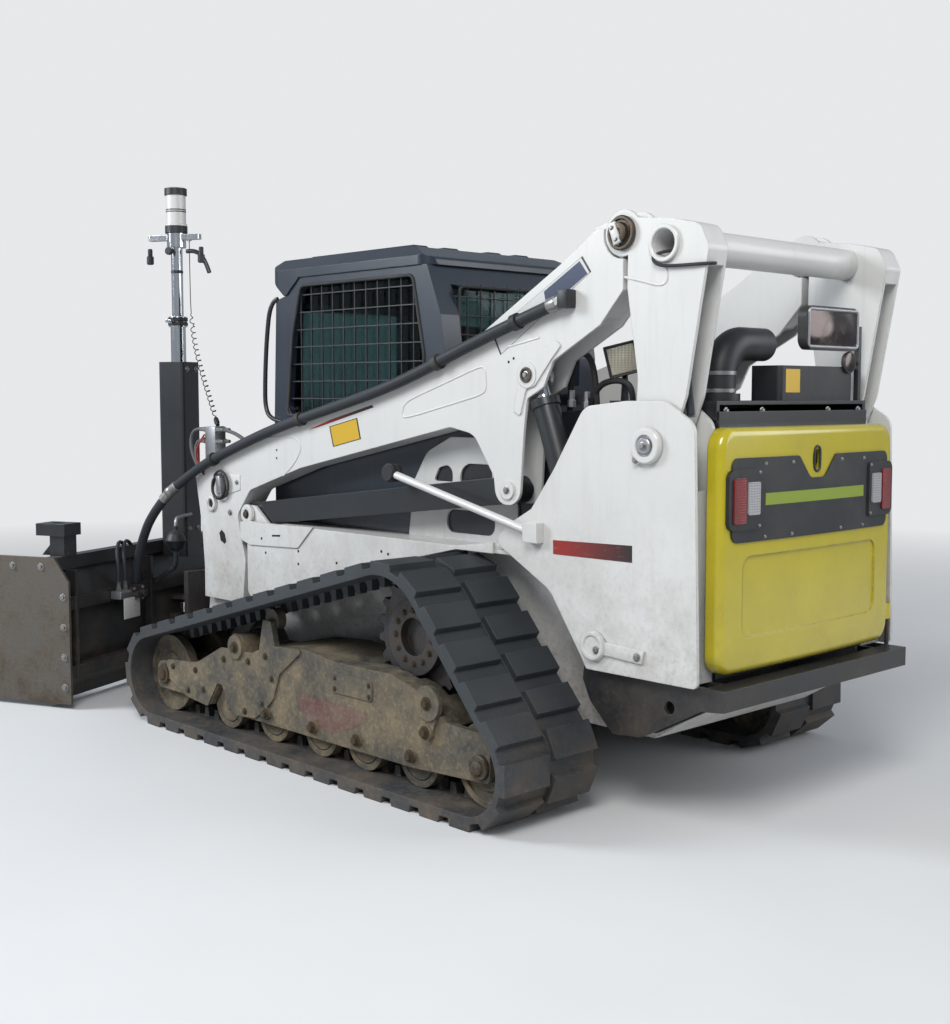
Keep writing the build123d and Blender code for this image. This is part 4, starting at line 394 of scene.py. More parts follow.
LABEL_NAVY = label("blank_navy_label", ((0.0, (0.01, 0.021, 0.066)), (1.0, (0.012, 0.025, 0.078))))
LABEL_YELLOW = label("blank_yellow_label", ((0.0, (0.57, 0.36, 0.021)), (1.0, (0.54, 0.34, 0.02))))
LABEL_BORDER = label("label_border", ((0.0, (0.02, 0.02, 0.02)), (1.0, (0.025, 0.025, 0.025))))
ARM_STRIPE = label("red_arm_stripe", ((0.0, (0.012, 0.01, 0.01)), (0.35, (0.05, 0.008, 0.008)),
                                      (0.75, (0.3, 0.015, 0.012))), (0.916, 1.347))
UPRIGHT_STRIPE = label("red_upright_stripe", ((0.0, (0.012, 0.01, 0.01)), (0.4, (0.1, 0.01, 0.01)),
                                              (0.9, (0.26, 0.014, 0.012))), (-0.43, -0.076))
FLASH = label("red_flash", ((0.0, (0.1, 0.012, 0.01)), (1.0, (0.07, 0.01, 0.009))), mud=0.9)
GREEN_STRIPE = label("green_stripe", ((0.0, (0.22, 0.3, 0.022)), (1.0, (0.2, 0.28, 0.02))))
SEAT_VINYL = plastic("seat_vinyl", (0.016, 0.016, 0.018), 0.6, 0.6, 0.25)

FINISH = {
    RUBBER: ("track_left", "track_right"),
    EARTHY: ("track_frame_left", "track_frame_right", "idlers", "rollers"),
    DARK_STEEL: ("sprockets", "coupler_plate"),
    BLACK: ("drive_motors", "rear_bumper", "engine_cover", "control_links", "arm_cross_member",
            "radiator_grille", "blade_frame", "work_lamp", "lift_barrels", "tilt_barrels",
            "angle_barrel_left", "angle_barrel_right", "mast_housing", "moldboard", "window_screens"),
    BLACK_PLASTIC: ("exhaust_elbow", "filter_box", "controls", "tail_panel"),
    WHITE: ("main_frame", "upright_left", "upright_right", "rear_link_left", "rear_link_right",
            "link_cross_tube", "lift_arm_left", "lift_arm_right", "arm_stop_bar", "mast_receiver"),
    NAVY: ("cab_shell", "cab_roof", "cab_door"),
    ENGINE: ("engine_block",),
    GLASS: ("cab_glass", "door_glass"),
    MIRROR_SHELL: ("rear_mirror",),
    SEAT_VINYL: ("operator_chair",),
    CHROME: ("lift_rods", "tilt_rods", "angle_rod_left", "angle_rod_right", "mast_tube"),
    PLATE_STEEL: ("end_plates",),
    YELLOW: ("tailgate",),
    TAIL_LENS: ("tail_lamps",),
}


def dress_nodes():
    """Give each CAD node listed in FINISH its finish."""
    for material, names in FINISH.items():
        for name in names:
            slots = NODES[name].data.materials
            slots.clear()
            slots.append(material)


# ---------------------------------------------------------------- making pieces
LEFT = (0.0, 1.0, 0.0)
BACK = (-1.0, 0.0, 0.0)
AHEAD = (1.0, 0.0, 0.0)
UP = (0.0, 0.0, 1.0)
SHARP = math.radians(35)
# how far a film starts inside its face, how high it stands on it, and a finer skin's depth
SUNK = 0.0005
FILM = 0.0008
SKIN = 0.001


def spots(places):
    """Places given in the machine's own axes."""
    return [spot(*place) for place in places]


def side_spots(y, outline):
    """Places in the side view. Outline rows: x, z."""
    return [spot(x, y, z) for x, z in outline]


def place_piece(name, data, material, body):
    """New piece at the frame's origin that rides on a body."""
    piece = bpy.data.objects.new(name, data)
    bpy.context.scene.collection.objects.link(piece)
    data.materials.append(material)
    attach(piece, body)
    return piece


def edit(piece):
    """Open one piece in edit mode, with all of it selected."""
    bpy.ops.object.select_all(action="DESELECT")
    piece.select_set(True)
    bpy.context.view_layer.objects.active = piece
    bpy.ops.object.mode_set(mode="EDIT")
    bpy.ops.mesh.select_all(action="SELECT")


def close_edit():
    """Leave edit mode and give the piece."""
    bpy.ops.object.mode_set(mode="OBJECT")
    return bpy.context.object


def apply_modifiers(piece):
    """Make the modifiers' result the piece's own mesh."""
    bpy.context.view_layer.objects.active = piece
    for modifier in list(piece.modifiers):
        bpy.ops.object.modifier_apply(modifier=modifier.name)


def join_parts(parts):
    """Join parts into one piece at the frame's origin."""
    bpy.ops.object.select_all(action="DESELECT")
    for part in parts:
        part.select_set(True)
    bpy.context.view_layer.objects.active = parts[0]
    if len(parts) > 1:
        bpy.ops.object.join()
    bpy.ops.object.transform_apply(location=True, rotation=True, scale=True)
    return parts[0]


def finish_piece(name, parts, material, body, rounding=0.0):
    """One piece from its parts, rounded where asked, that rides on a body."""
    piece = join_parts(parts)
    edit(piece)
    bpy.ops.mesh.normals_make_consistent(inside=False)
    close_edit()
    if rounding:
        bevel = piece.modifiers.new("rounding", "BEVEL")
        bevel.width = rounding
        bevel.segments = 2
        bevel.limit_method = "ANGLE"
        bevel.angle_limit = SHARP
        apply_modifiers(piece)
    bpy.ops.object.shade_smooth_by_angle(angle=SHARP)
    piece.name = name
    piece.data.name = name
    piece.data.materials.clear()
    piece.data.materials.append(material)
    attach(piece, body)
    return piece


def smooth_line(name, points, closed=False):
    """NURBS curve whose control points are the given places."""
    curve = bpy.data.curves.new(name, "CURVE")
    curve.dimensions = "3D"
    spline = curve.splines.new("NURBS")
    spline.points.add(len(points) - 1)
    for point, place in zip(spline.points, points):
        point.co = (*place, 1.0)
    spline.order_u = 3
    spline.use_endpoint_u = not closed
    spline.use_cyclic_u = closed
    return curve


def line_piece(name, points, radius, material, body, closed=False):
    """Bead, bar or pipe along a smooth line."""
    curve = smooth_line(name, points, closed)
    curve.bevel_depth = radius
    curve.bevel_resolution = 4
    curve.use_fill_caps = not closed
    return place_piece(name, curve, material, body)


def square_to(axis):
    """Two directions square to an axis."""
    axis = axis.normalized()
    helper = Vector(UP) if abs(axis.z) < 0.9 else Vector(AHEAD)
    side = axis.cross(helper).normalized()
    return side, axis.cross(side)


def turned(place, axis, profile, sides=28, closed=True, roll=0.0):
    """Turned part: a disc extruded and resized row by row. Profile rows: distance along the axis, radius."""
    axis = Vector(axis).normalized()
    reach, radius = profile[0]
    stand = axis.to_track_quat("Z", "Y") @ Quaternion(UP, roll)
    bpy.ops.mesh.primitive_circle_add(
        vertices=sides, radius=radius, fill_type="NGON" if closed else "NOTHING",
        location=place + axis * reach, rotation=stand.to_euler())
    edit(bpy.context.object)
    for next_reach, next_radius in profile[1:]:
        bpy.ops.mesh.extrude_region_move(TRANSFORM_OT_translate={"value": axis * (next_reach - reach)})
        share = next_radius / radius
        bpy.ops.transform.resize(value=(share, share, share), center_override=place + axis * next_reach)
        reach, radius = next_reach, next_radius
    return close_edit()


def ring(place, axis, profile):
    """Turned ring: the profile goes round its section and closes on itself."""
    edit(turned(place, axis, (*profile, profile[0]), 40, closed=False))
    bpy.ops.mesh.remove_doubles(threshold=0.00005)
    return close_edit()


def copy_of(model, place, axis, size):
    """Copy of a model, stood along an axis at a size, with its own mesh."""
    part = model.copy()
    part.data = model.data.copy()
    bpy.context.scene.collection.objects.link(part)
    part.matrix_world = Matrix.LocRotScale(place, Vector(axis).to_track_quat("Z", "Y"), Vector((size,) * 3))
    return part


def make_bolt_model():
    """Hex head on its washer, for a bolt of radius one."""
    middle = Vector((0.0, 0.0, 0.0))
    washer = turned(middle, UP, ((-0.25, 1.45), (0.0, 1.45), (0.16, 1.45), (0.2, 1.36)), 20)
    head = turned(middle, UP, ((0.2, 0.98), (0.82, 1.0), (0.98, 0.84)), 6)
    return join_parts([head, washer])


def flat(corners, depth):
    """Flat part: a disc with its corners moved to the outline's, extruded through its thickness."""
    bpy.ops.mesh.primitive_circle_add(vertices=len(corners), radius=0.02, fill_type="NGON",
        location=corners[0])
    piece = bpy.context.object
    edit(piece)
    form = bmesh.from_edit_mesh(piece.data)
    for number, corner in enumerate(corners):
        bpy.ops.mesh.select_all(action="DESELECT")
        form.verts.ensure_lookup_table()
        form.verts[number].select_set(True)
        bpy.ops.transform.translate(value=corner - piece.location - form.verts[number].co)
    bpy.ops.mesh.select_all(action="SELECT")
    bpy.ops.mesh.extrude_region_move(TRANSFORM_OT_translate={"value": Vector(depth)})
    return close_edit()


def plate_piece(name, corners, depth, material, body, rounding=0.0):
    """Plate from its corners, as deep as a direction."""
    return finish_piece(name, [flat(corners, depth)], material, body, rounding)


def side_plate(name, outline, y_low, y_high, material, body, rounding=0.0):
    """Plate in the side view. Outline rows: x, z."""
    return plate_piece(name, side_spots(y_low, outline), (0.0, y_high - y_low, 0.0), material, body, rounding)


def film(name, outline, face, material, body):
    """Thin film on a side face."""
    side_plate(name, outline, face - SUNK, face + FILM, material, body)


def bolt_group(name, places, axis, radius, material, body):
    """Like bolts as one piece."""
    return finish_piece(name, [copy_of(BOLT_MODEL, place, axis, radius) for place in places], material, body)


def turned_piece(name, place, axis, profile, material, body, sides=40):
    """One turned part as a piece."""
    return finish_piece(name, [turned(place, axis, profile, sides)], material, body)


def turned_group(name, places, axis, profile, material, body, sides=28):
    """Like turned parts as one piece."""
    return finish_piece(name, [turned(place, axis, profile, sides) for place in places], material, body)


def round_hole_shadows(name, places, radius, body):
    """Dark discs of painted shade in the mouths of small drilled holes in a side plate."""
    return turned_group(name, places, LEFT, ((-SKIN, radius), (0.0006, radius)), HOLE_SHADOW, body, 16)


def shrunk(outline, amount):
    """Outline pulled in towards its middle by about an amount."""
    middle_x = sum(x for x, z in outline) / len(outline)
    middle_z = sum(z for x, z in outline) / len(outline)
    rows = []
    for x, z in outline:
        reach = math.hypot(x - middle_x, z - middle_z)
        share = (reach - 1.6 * amount) / reach
        rows.append((middle_x + share * (x - middle_x), middle_z + share * (z - middle_z)))
    return rows


def rounded_loop(outline, reach):
    """Places round a closed outline, with its corners drawn in over reach."""
    places = []
    for number, corner in enumerate(outline):
        for other in (outline[number - 1], corner, outline[(number + 1) % len(outline)]):
            gap = (other - corner).length
            places.append(corner if gap == 0 else corner + (other - corner) * min(0.45, reach / gap))
    return places


# ---------------------------------------------------------------- hoses and cords
HOSE_RADIUS = 0.022
LOOP_RADIUS = 0.013
ARM_HOSE = (
    (-0.09, 0.606, 1.752), (0.284, 0.607, 1.643), (0.734, 0.606, 1.486), (1.181, 0.607, 1.385),
    (1.56, 0.606, 1.3), (1.9, 0.607, 1.198), (2.183, 0.606, 1.104), (2.365, 0.64, 0.987),
)
BLADE_HOSE = (
    (2.663, 0.662, 0.53), (2.64, 0.67, 0.606), (2.575, 0.676, 0.735), (2.47, 0.677, 0.88),
    (2.365, 0.64, 0.987),
)
MAST_CORD = (
    (2.774, 0.258, 2.222), (2.767, 0.262, 2.04), (2.755, 0.268, 1.86), (2.67, 0.3, 1.694),
    (2.541, 0.34, 1.543), (2.418, 0.375, 1.419), (2.327, 0.405, 1.331),
)
LINK_HOSE = (
    (-0.606, 0.528, 1.836), (-0.59, 0.524, 1.715), (-0.578, 0.529, 1.59), (-0.592, 0.524, 1.47),
    (-0.608, 0.528, 1.38),
)
FERRULE = ((-0.06, 1.02), (-0.056, 1.16), (-0.02, 1.16), (-0.018, 1.08), (-0.012, 1.22), (0.004, 1.22))


def line_points(route):
    """Points along a route's smooth line."""
    curve = smooth_line("measure", spots(route))
    helper = bpy.data.objects.new("measure", curve)
    bpy.context.scene.collection.objects.link(helper)
    mesh = bpy.data.meshes.new_from_object(helper)
    points = [vertex.co.copy() for vertex in mesh.vertices]
    bpy.data.objects.remove(helper)
    bpy.data.meshes.remove(mesh)
    bpy.data.curves.remove(curve)
    return points


def hose(name, route, radius, body, node_name, ferrule=True):
    """Hose along its route, in place of its CAD node, with a ferrule on its far end."""
    places = spots(route)
    curve = smooth_line(name, places)
    curve.bevel_depth = radius
    curve.bevel_resolution = 8
    curve.resolution_u = 20
    curve.use_fill_caps = True
    piece = place_piece(name, curve, HOSE, body)
    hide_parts(node_name)
    if ferrule:
        profile = [(reach, share * radius) for reach, share in FERRULE]
        way = places[-1] - places[-2]
        turned_piece(f"{name}_ferrule", places[-1], way, profile, BOLT, body, 12)


CURL_RADIUS = 0.011
CURL_TURNS = 30
CURL_POINTS = 14
CURL_START = 0.34
CURL_WIRE = 0.0022
PLUG = ((-0.006, 0.007), (0.004, 0.012), (0.03, 0.013), (0.034, 0.01), (0.046, 0.01))


def make_curly_cord():
    """Curly cord that hangs from the mast: straight at both ends, curled between."""
    points = line_points(MAST_CORD)
    runs = [0.0]
    for before, after in zip(points, points[1:]):
        runs.append(runs[-1] + (after - before).length)
    total = runs[-1]
    steps = CURL_TURNS * CURL_POINTS
    places = []
    number = 0
    for step in range(steps + 1):
        travel = total * step / steps
        while number < len(points) - 2 and runs[number + 1] < travel:
            number += 1
        share = (travel - runs[number]) / (runs[number + 1] - runs[number])
        middle = points[number].lerp(points[number + 1], share)
        first, second = square_to(points[number + 1] - points[number])
        way = travel / total
        swell = min(1.0, max(0.0, (way - CURL_START) / 0.05)) * min(1.0, (1.0 - way) / 0.04)
        angle = 2 * math.pi * step / CURL_POINTS
        places.append(middle + (first * math.cos(angle) + second * math.sin(angle)) * CURL_RADIUS * swell)
    curve = smooth_line("mast_curly_cord", places)
    curve.bevel_depth = CURL_WIRE
    curve.bevel_resolution = 3
    curve.resolution_u = 2
    piece = place_piece("mast_curly_cord", curve, HOSE, "mast")
    way = points[-1] - points[-2]
    plug = turned_piece("mast_cord_plug", points[-1], way, PLUG, BLACK_PLASTIC, "mast", 20)
    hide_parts("mast_cord")


def make_cords():
    """Main hose in two lengths, the rear link's loop and the mast's curly cord."""
    hose("arm_main_hose", ARM_HOSE, HOSE_RADIUS, "lift_arm", "arm_hose")
    hose("blade_main_hose", BLADE_HOSE, HOSE_RADIUS, "blade", "blade_hose")
    hose("link_loop_hose", LINK_HOSE, LOOP_RADIUS, "rear_link", "link_hose", ferrule=False)
    make_curly_cord()


# ---------------------------------------------------------------- lift arm
ARM_LABEL = ((0.244, 1.663), (-0.188, 1.906), (-0.228, 1.852), (0.202, 1.585))
ARM_LABEL_DARK = ((-0.012, 1.798), (-0.176, 1.89), (-0.212, 1.846), (-0.06, 1.757), (-0.02, 1.764))
ARM_STRIPE_SHAPE = (
    (1.347, 1.299), (1.284, 1.309), (1.096, 1.353), (0.916, 1.395), (0.927, 1.404), (1.194, 1.343),
)
ARM_WARNING = ((1.206, 1.314), (1.021, 1.352), (0.998, 1.267), (1.181, 1.23))
ARM_LOOP_BEAD = (
    (0.738, 1.389), (0.726, 1.41), (0.688, 1.43), (0.5, 1.487), (0.314, 1.545), (0.282, 1.545),
    (0.275, 1.5), (0.275, 1.462), (0.3, 1.444), (0.5, 1.402), (0.726, 1.353), (0.745, 1.368),
)
ARM_KNEE_BEAD = (
    (1.643, 1.256), (1.546, 1.263), (1.43, 1.266), (1.398, 1.222), (1.424, 1.185), (1.449, 1.156),
    (1.5, 1.118), (1.535, 1.096),
)
ARM_SEAM_BEAD = ((0.162, 1.614), (0.08, 1.628), (0.009, 1.642))
ARM_SLOT = ((2.022, 0.828), (2.04, 0.812), (2.03, 0.778), (1.998, 0.764), (1.984, 0.776), (1.996, 0.812))
ARM_HOLES = ((1.58, 1.206), (1.581, 1.171), (0.16, 1.56), (0.135, 1.572))
BEAD_RADIUS = 0.0045


def blank_label(name, outline, face, fill, body):
    """Bordered film with nothing printed on it."""
    side_plate(f"{name}_border", outline, face - SUNK, face + 0.0006, LABEL_BORDER, body)
    side_plate(name, shrunk(outline, 0.005), face, face + SKIN, fill, body)


def make_arm_trim():
    """Beads, films, pins, and dark painted shade in the holes, on the left arm's outer side."""
    face = ARM_FACE
    blank_label("arm_label", ARM_LABEL, face, LABEL_WHITE, "lift_arm")
    side_plate("arm_label_dark", ARM_LABEL_DARK, face, face + 0.0014, LABEL_NAVY, "lift_arm")
    film("arm_stripe", ARM_STRIPE_SHAPE, face, ARM_STRIPE, "lift_arm")
    blank_label("arm_warning", ARM_WARNING, face, LABEL_YELLOW, "lift_arm")
    for name, outline in (("loop", ARM_LOOP_BEAD), ("knee", ARM_KNEE_BEAD), ("seam", ARM_SEAM_BEAD)):
        line_piece(f"arm_{name}_bead", side_spots(face - SKIN, outline), BEAD_RADIUS, WHITE, "lift_arm",
                   name == "loop")
    # painted shade: dark films in the mouths of the arm's holes and slot
    round_hole_shadows("arm_hole_shadows", side_spots(face, ARM_HOLES), 0.005, "lift_arm")
    side_plate("arm_slot_shadow", ARM_SLOT, face - SKIN, face + 0.0006, HOLE_SHADOW, "lift_arm")
    # bore with its raised ring, at the knee; the bore is a dark disc of painted shade
    knee = spot(2.093, face + 0.006, 0.946)
    profile = ((-0.003, 0.036), (0.006, 0.036), (0.008, 0.033), (0.008, 0.022), (0.0004, 0.02))
    turned_piece("knee_ring", knee, LEFT, profile, WHITE, "lift_arm")
    turned_piece("knee_bore_shadow", knee, LEFT, ((-0.002, 0.0195), (0.0008, 0.0195)), HOLE_SHADOW, "lift_arm")
    # lift rod's pin: bushing, seal ring and bolt
    pin = spot(0.065, face + 0.008, 1.513)
    profile = ((-0.002, 0.027), (0.005, 0.027), (0.007, 0.025), (0.007, 0.019), (0.002, 0.018))
    turned_piece("rod_pin_bushing", pin, LEFT, profile, GREASE, "lift_arm")
    bolts = spots(((0.065, face + 0.01, 1.513), (0.162, face + 0.008, 1.104), (1.947, face, 0.912)))
    bolt_group("arm_pin_bolts", bolts, LEFT, 0.01, BOLT, "lift_arm")


def make_hose_clamps():
    """Rubber sleeves over the main hose's clamps, and its rear hex fitting."""
    sleeve = ((-0.014, 0.0285), (-0.013, 0.0295), (0.013, 0.0295), (0.014, 0.0285))
    parts = []
    for number in (0, 1, 3, 5):
        start, end = Vector(ARM_HOSE[number]), Vector(ARM_HOSE[number + 1])
        parts.append(turned(spot(*(start + end) / 2), end - start, sleeve, 32))
    finish_piece("hose_clamp_sleeves", parts, GASKET, "lift_arm")
    start, after = Vector(ARM_HOSE[0]), Vector(ARM_HOSE[1])
    neck = ((-0.03, 0.0235), (-0.026, 0.0255), (0.01, 0.0255), (0.012, 0.0225))
    parts = [turned(spot(*start), start - after, neck, 32),
             turned(spot(*start), start - after, ((0.012, 0.026), (0.034, 0.026), (0.036, 0.022)), 6)]
    finish_piece("hose_rear_fitting", parts, BOLT, "lift_arm")
    cover = ((-0.163, 1.734), (-0.163, 1.797), (-0.117, 1.797), (-0.117, 1.734))
    side_plate("hose_rear_cover", cover, 0.5805, 0.6315, BLACK_PLASTIC, "lift_arm", 0.006)


STOWED_CABLES = (
    ((2.06, 0.59, 1.08), (1.99, 0.6, 1.11), (1.93, 0.598, 1.06), (1.95, 0.594, 0.985),
     (2.03, 0.6, 0.965), (2.075, 0.596, 1.01), (2.05, 0.592, 1.06)),
    ((2.045, 0.598, 1.07), (1.975, 0.606, 1.09), (1.945, 0.604, 1.03), (1.985, 0.602, 0.97),
     (2.05, 0.606, 0.985), (2.062, 0.602, 1.04)),
)


def make_cable_bracket():
    """Small plate at the knee with a stowed cable loop and its clamp."""
    face = ARM_FACE
    plate = ((2.085, 1.086), (1.862, 1.086), (1.862, 1.018), (1.985, 0.988), (2.035, 0.99))
    side_plate("cable_bracket", plate, face - SKIN, face + 0.003, WHITE, "lift_arm", 0.001)
    for number, loop in enumerate(STOWED_CABLES):
        line_piece(f"stowed_cable_{number + 1}", spots(loop), 0.006, GASKET, "lift_arm", True)
    clamp = ((2.02, 1.075), (1.99, 1.08), (1.972, 1.000), (2.002, 0.995))
    plate_piece("stowed_cable_clamp", side_spots(face, clamp), (0.0, 0.032, 0.0), STEEL_GREY, "lift_arm",
        0.004)
    bolt_group("cable_bracket_bolt", [spot(1.885, face + 0.003, 1.052)], LEFT, 0.008, BOLT, "lift_arm")


COUPLING_BLOCK = ((2.11, 1.15), (2.196, 1.14), (2.196, 1.296), (2.11, 1.3))
FRONT_NIPPLE = ((-0.002, 0.012), (0.024, 0.012), (0.026, 0.01), (0.06, 0.009))
REAR_NIPPLE = ((-0.002, 0.012), (0.02, 0.012), (0.022, 0.009), (0.052, 0.008))
BRAIDED_TAILS = (
    ((2.25, 0.538, 1.284), (2.3, 0.54, 1.286), (2.335, 0.545, 1.23), (2.3, 0.545, 1.13),
     (2.225, 0.54, 1.06)),
    ((2.25, 0.538, 1.23), (2.28, 0.538, 1.228), (2.3, 0.54, 1.18), (2.27, 0.535, 1.09),
     (2.215, 0.53, 1.03)),
    ((2.06, 0.538, 1.284), (1.99, 0.54, 1.278), (1.9, 0.54, 1.25), (1.84, 0.54, 1.222)),
)


def make_coupling_block():
    """Hydraulic couplings on top of the arm's front end, with their braided hose tails."""
    side_plate("coupling_block", COUPLING_BLOCK, 0.49, 0.552, STEEL_GREY, "lift_arm", 0.006)
    parts = []
    for z in (1.284, 1.23):
        for y in (0.505, 0.538):
            parts.append(turned(spot(2.196, y, z), AHEAD, FRONT_NIPPLE, 6))
            parts.append(turned(spot(2.11, y, z), BACK, REAR_NIPPLE, 6))
    finish_piece("coupling_nipples", parts, BOLT, "lift_arm")
    for number, tail in enumerate(BRAIDED_TAILS):
        line_piece(f"braided_tail_{number + 1}", spots(tail), 0.0085, BRAID, "lift_arm")
    for number, shift in enumerate((0.0, 0.014)):
        wire = ((2.19, 0.556, 1.26 - shift), (2.225, 0.566, 1.225), (2.235, 0.57 + shift, 1.16),
                (2.19, 0.584, 1.11), (2.15, 0.588, 1.075 + shift))
        line_piece(f"red_wire_{number + 1}", spots(wire), 0.0038, RED_WIRE, "lift_arm")


# ---------------------------------------------------------------- rear link
LINK_CAP = (
    (-0.002, 0.056), (0.006, 0.057), (0.012, 0.053), (0.012, 0.045), (0.007, 0.042), (0.007, 0.034),
    (0.014, 0.033), (0.022, 0.031), (0.024, 0.024), (0.024, 0.013), (0.019, 0.012),
)
LINK_KEEPER = ((-0.35, 2.004), (-0.322, 1.994), (-0.348, 1.926), (-0.376, 1.936))
LINK_WELD = ((-0.371, 1.825), (-0.447, 1.808), (-0.51, 1.79), (-0.54, 1.795), (-0.55, 1.818), (-0.54, 1.842))
LINK_HARNESS = (
    (-0.56, 0.54, 1.905), (-0.505, 0.572, 1.895), (-0.49, 0.59, 1.876), (-0.52, 0.59, 1.85),
    (-0.6, 0.588, 1.846), (-0.69, 0.588, 1.846), (-0.722, 0.57, 1.846), (-0.7, 0.535, 1.85),
)


def make_link_trim():
    """Pin cap, tube rim, weld and harness on the left rear link."""
    face = LINK_FACE
    turned_piece("link_pin_cap", spot(-0.363, face + 0.006, 1.967), LEFT, LINK_CAP, GREASE, "rear_link")
    side_plate("link_pin_keeper", LINK_KEEPER, face + 0.02, face + 0.032, WHITE, "rear_link", 0.002)
    heads = side_spots(face + 0.032, ((-0.34, 1.984), (-0.358, 1.946)))
    bolt_group("link_pin_bolts", heads, LEFT, 0.006, BOLT, "rear_link")
    section = ((-0.004, 0.06), (0.01, 0.06), (0.013, 0.057), (0.013, 0.048), (0.01, 0.045), (-0.004, 0.045))
    finish_piece("link_tube_rim", [ring(spot(CROSS_TUBE_X, face, 1.921), LEFT, section)], WHITE, "rear_link")
    line_piece("link_weld", side_spots(face - SKIN, LINK_WELD), 0.005, WHITE, "rear_link")
    line_piece("link_harness", spots(LINK_HARNESS), 0.0055, GASKET, "rear_link")


# ---------------------------------------------------------------- uprights, fenders and stop bar
UPPER_BOSS = ((-0.004, 0.06), (0.012, 0.058), (0.016, 0.054), (0.016, 0.036), (0.008, 0.034), (0.008, 0.031))
LOWER_BOSS = ((-0.004, 0.052), (0.01, 0.05), (0.013, 0.046), (0.013, 0.036), (0.009, 0.034))
FRONT_COLLAR = ((-0.004, 0.044), (0.008, 0.044), (0.012, 0.04), (0.012, 0.022), (0.006, 0.02))
UPPER_TAB = ((-0.462, 1.262), (-0.43, 1.24), (-0.446, 1.214), (-0.482, 1.232))
LOWER_BAR = ((-0.25, 0.622), (-0.262, 0.578), (-0.48, 0.566), (-0.49, 0.612))
UPRIGHT_STRIPE_SHAPE = ((-0.076, 0.944), (-0.429, 0.952), (-0.43, 0.896), (-0.077, 0.895))
FENDER_HOLES = ((1.648, 0.754), (1.407, 0.781), (1.408, 0.726), (1.143, 0.754), (0.854, 0.826),
    (0.812, 0.819))
SHELF_SLOT = ((1.53, 0.842), (1.53, 0.834), (1.59, 0.83), (1.59, 0.838))
STOP_RUBBER = (
    (-0.03, 0.032), (-0.028, 0.036), (-0.014, 0.036), (-0.012, 0.033), (-0.006, 0.033), (-0.004, 0.037),
    (0.012, 0.037), (0.014, 0.033), (0.018, 0.033), (0.022, 0.03),
)


def make_upright_trim():
    """Pin bosses, keeper bar, stripe, and dark painted shade in the drilled holes, on the left side."""
    face = UPRIGHT_FACE
    foot = spot(-0.493, face + 0.008, 1.28)
    turned_piece("upper_pin_boss", foot, LEFT, UPPER_BOSS, WHITE, "chassis")
    turned_piece("upper_pin_end", foot, LEFT, ((0.0, 0.028), (0.018, 0.028), (0.022, 0.024)), STEEL_GREY,
        "chassis")
    side_plate("upper_pin_tab", UPPER_TAB, face, face + 0.014, WHITE, "chassis", 0.003)
    turned_piece("lower_pin_boss", spot(-0.27, face + 0.006, 0.601), LEFT, LOWER_BOSS, WHITE, "chassis")
    side_plate("lower_pin_bar", LOWER_BAR, face, face + 0.01, WHITE, "chassis", 0.003)
    bolts = spots(((-0.452, face + 0.014, 1.236), (-0.462, face + 0.01, 0.589), (-0.29, face + 0.015, 0.59),
                   (-0.493, face + 0.03, 1.28)))
    bolt_group("upright_bolts", bolts, LEFT, 0.01, BOLT, "chassis")
    film("upright_stripe", UPRIGHT_STRIPE_SHAPE, face, UPRIGHT_STRIPE, "chassis")
    # painted shade: dark films in the mouths of the fender's holes and the shelf's hole and slot
    round_hole_shadows("fender_hole_shadows", side_spots(face, FENDER_HOLES), 0.006, "chassis")
    shelf = face + 0.006
    round_hole_shadows("shelf_hole_shadow", [spot(1.669, shelf, 0.816)], 0.006, "chassis")
    side_plate("shelf_slot_shadow", SHELF_SLOT, shelf - SKIN, shelf + 0.0006, HOLE_SHADOW, "chassis")
    turned_piece("front_pin_collar", spot(1.807, 0.5785, 0.913), LEFT, FRONT_COLLAR, WHITE, "chassis")
    bolt_group("front_pin_bolt", [spot(1.807, 0.5845, 0.913)], LEFT, 0.015, GREASE, "chassis")
    turned_piece("stop_rubber", spot(0.77, 0.616, 1.142), LEFT, STOP_RUBBER, GASKET, "chassis")


# ---------------------------------------------------------------- undercarriage
FLASH_SHAPE = (
    (0.972, 0.29), (0.9, 0.286), (0.56, 0.286), (0.548, 0.25), (0.64, 0.206), (0.77, 0.166),
    (0.9, 0.19), (0.96, 0.226),
)
COVER_BOLTS = (
    (1.88, 0.262), (1.7, 0.272), (1.64, 0.196), (1.48, 0.35), (1.3, 0.366), (1.18, 0.404),
    (1.14, 0.32), (1.21, 0.21), (1.33, 0.156), (1.76, 0.176),
)
AXLE_CAP = ((-0.002, 0.044), (0.012, 0.044), (0.016, 0.04), (0.016, 0.026), (0.022, 0.024), (0.024, 0.02))
HUB_REACH = 0.098
HUB_BOLTS = 12


def make_track_trim():
    """Bolts, hubs and the worn red flash on the left track frame."""
    face = BEAM_FACE
    film("frame_flash", FLASH_SHAPE, face, FLASH, "chassis")
    nuts = side_spots(face + 0.012, [(x, 0.172) for x in (1.18, 0.87, 0.6, 0.296)])
    nuts += spots(((0.195, face + 0.022, 0.379), (0.204, face + 0.022, 0.275), (1.385, face + 0.018, 0.414)))
    access = side_spots(face + 0.005, [(x, z) for x in (0.532, 0.734) for z in (0.344, 0.386)])
    for name, places, radius in (("cover_bolts", side_spots(face + 0.008, COVER_BOLTS), 0.01),
                                 ("access_bolts", access, 0.007), ("axle_nuts", nuts, 0.017)):
        bolt_group(name, places, LEFT, radius, EARTHY_BOLT, "chassis")
    axles = side_spots(face, ((1.959, 0.218), (-0.053, 0.2)))
    turned_group("idler_axle_caps", axles, LEFT, AXLE_CAP, EARTHY_BOLT, "chassis")
    # ring of bolts round the drive hub
    angles = [2 * math.pi * number / HUB_BOLTS for number in range(HUB_BOLTS)]
    hub = [spot(0.389 + HUB_REACH * math.cos(angle), 0.834, 0.573 + HUB_REACH * math.sin(angle))
        for angle in angles]
    bolt_group("hub_bolts", hub, LEFT, 0.009, EARTHY_BOLT, "chassis")


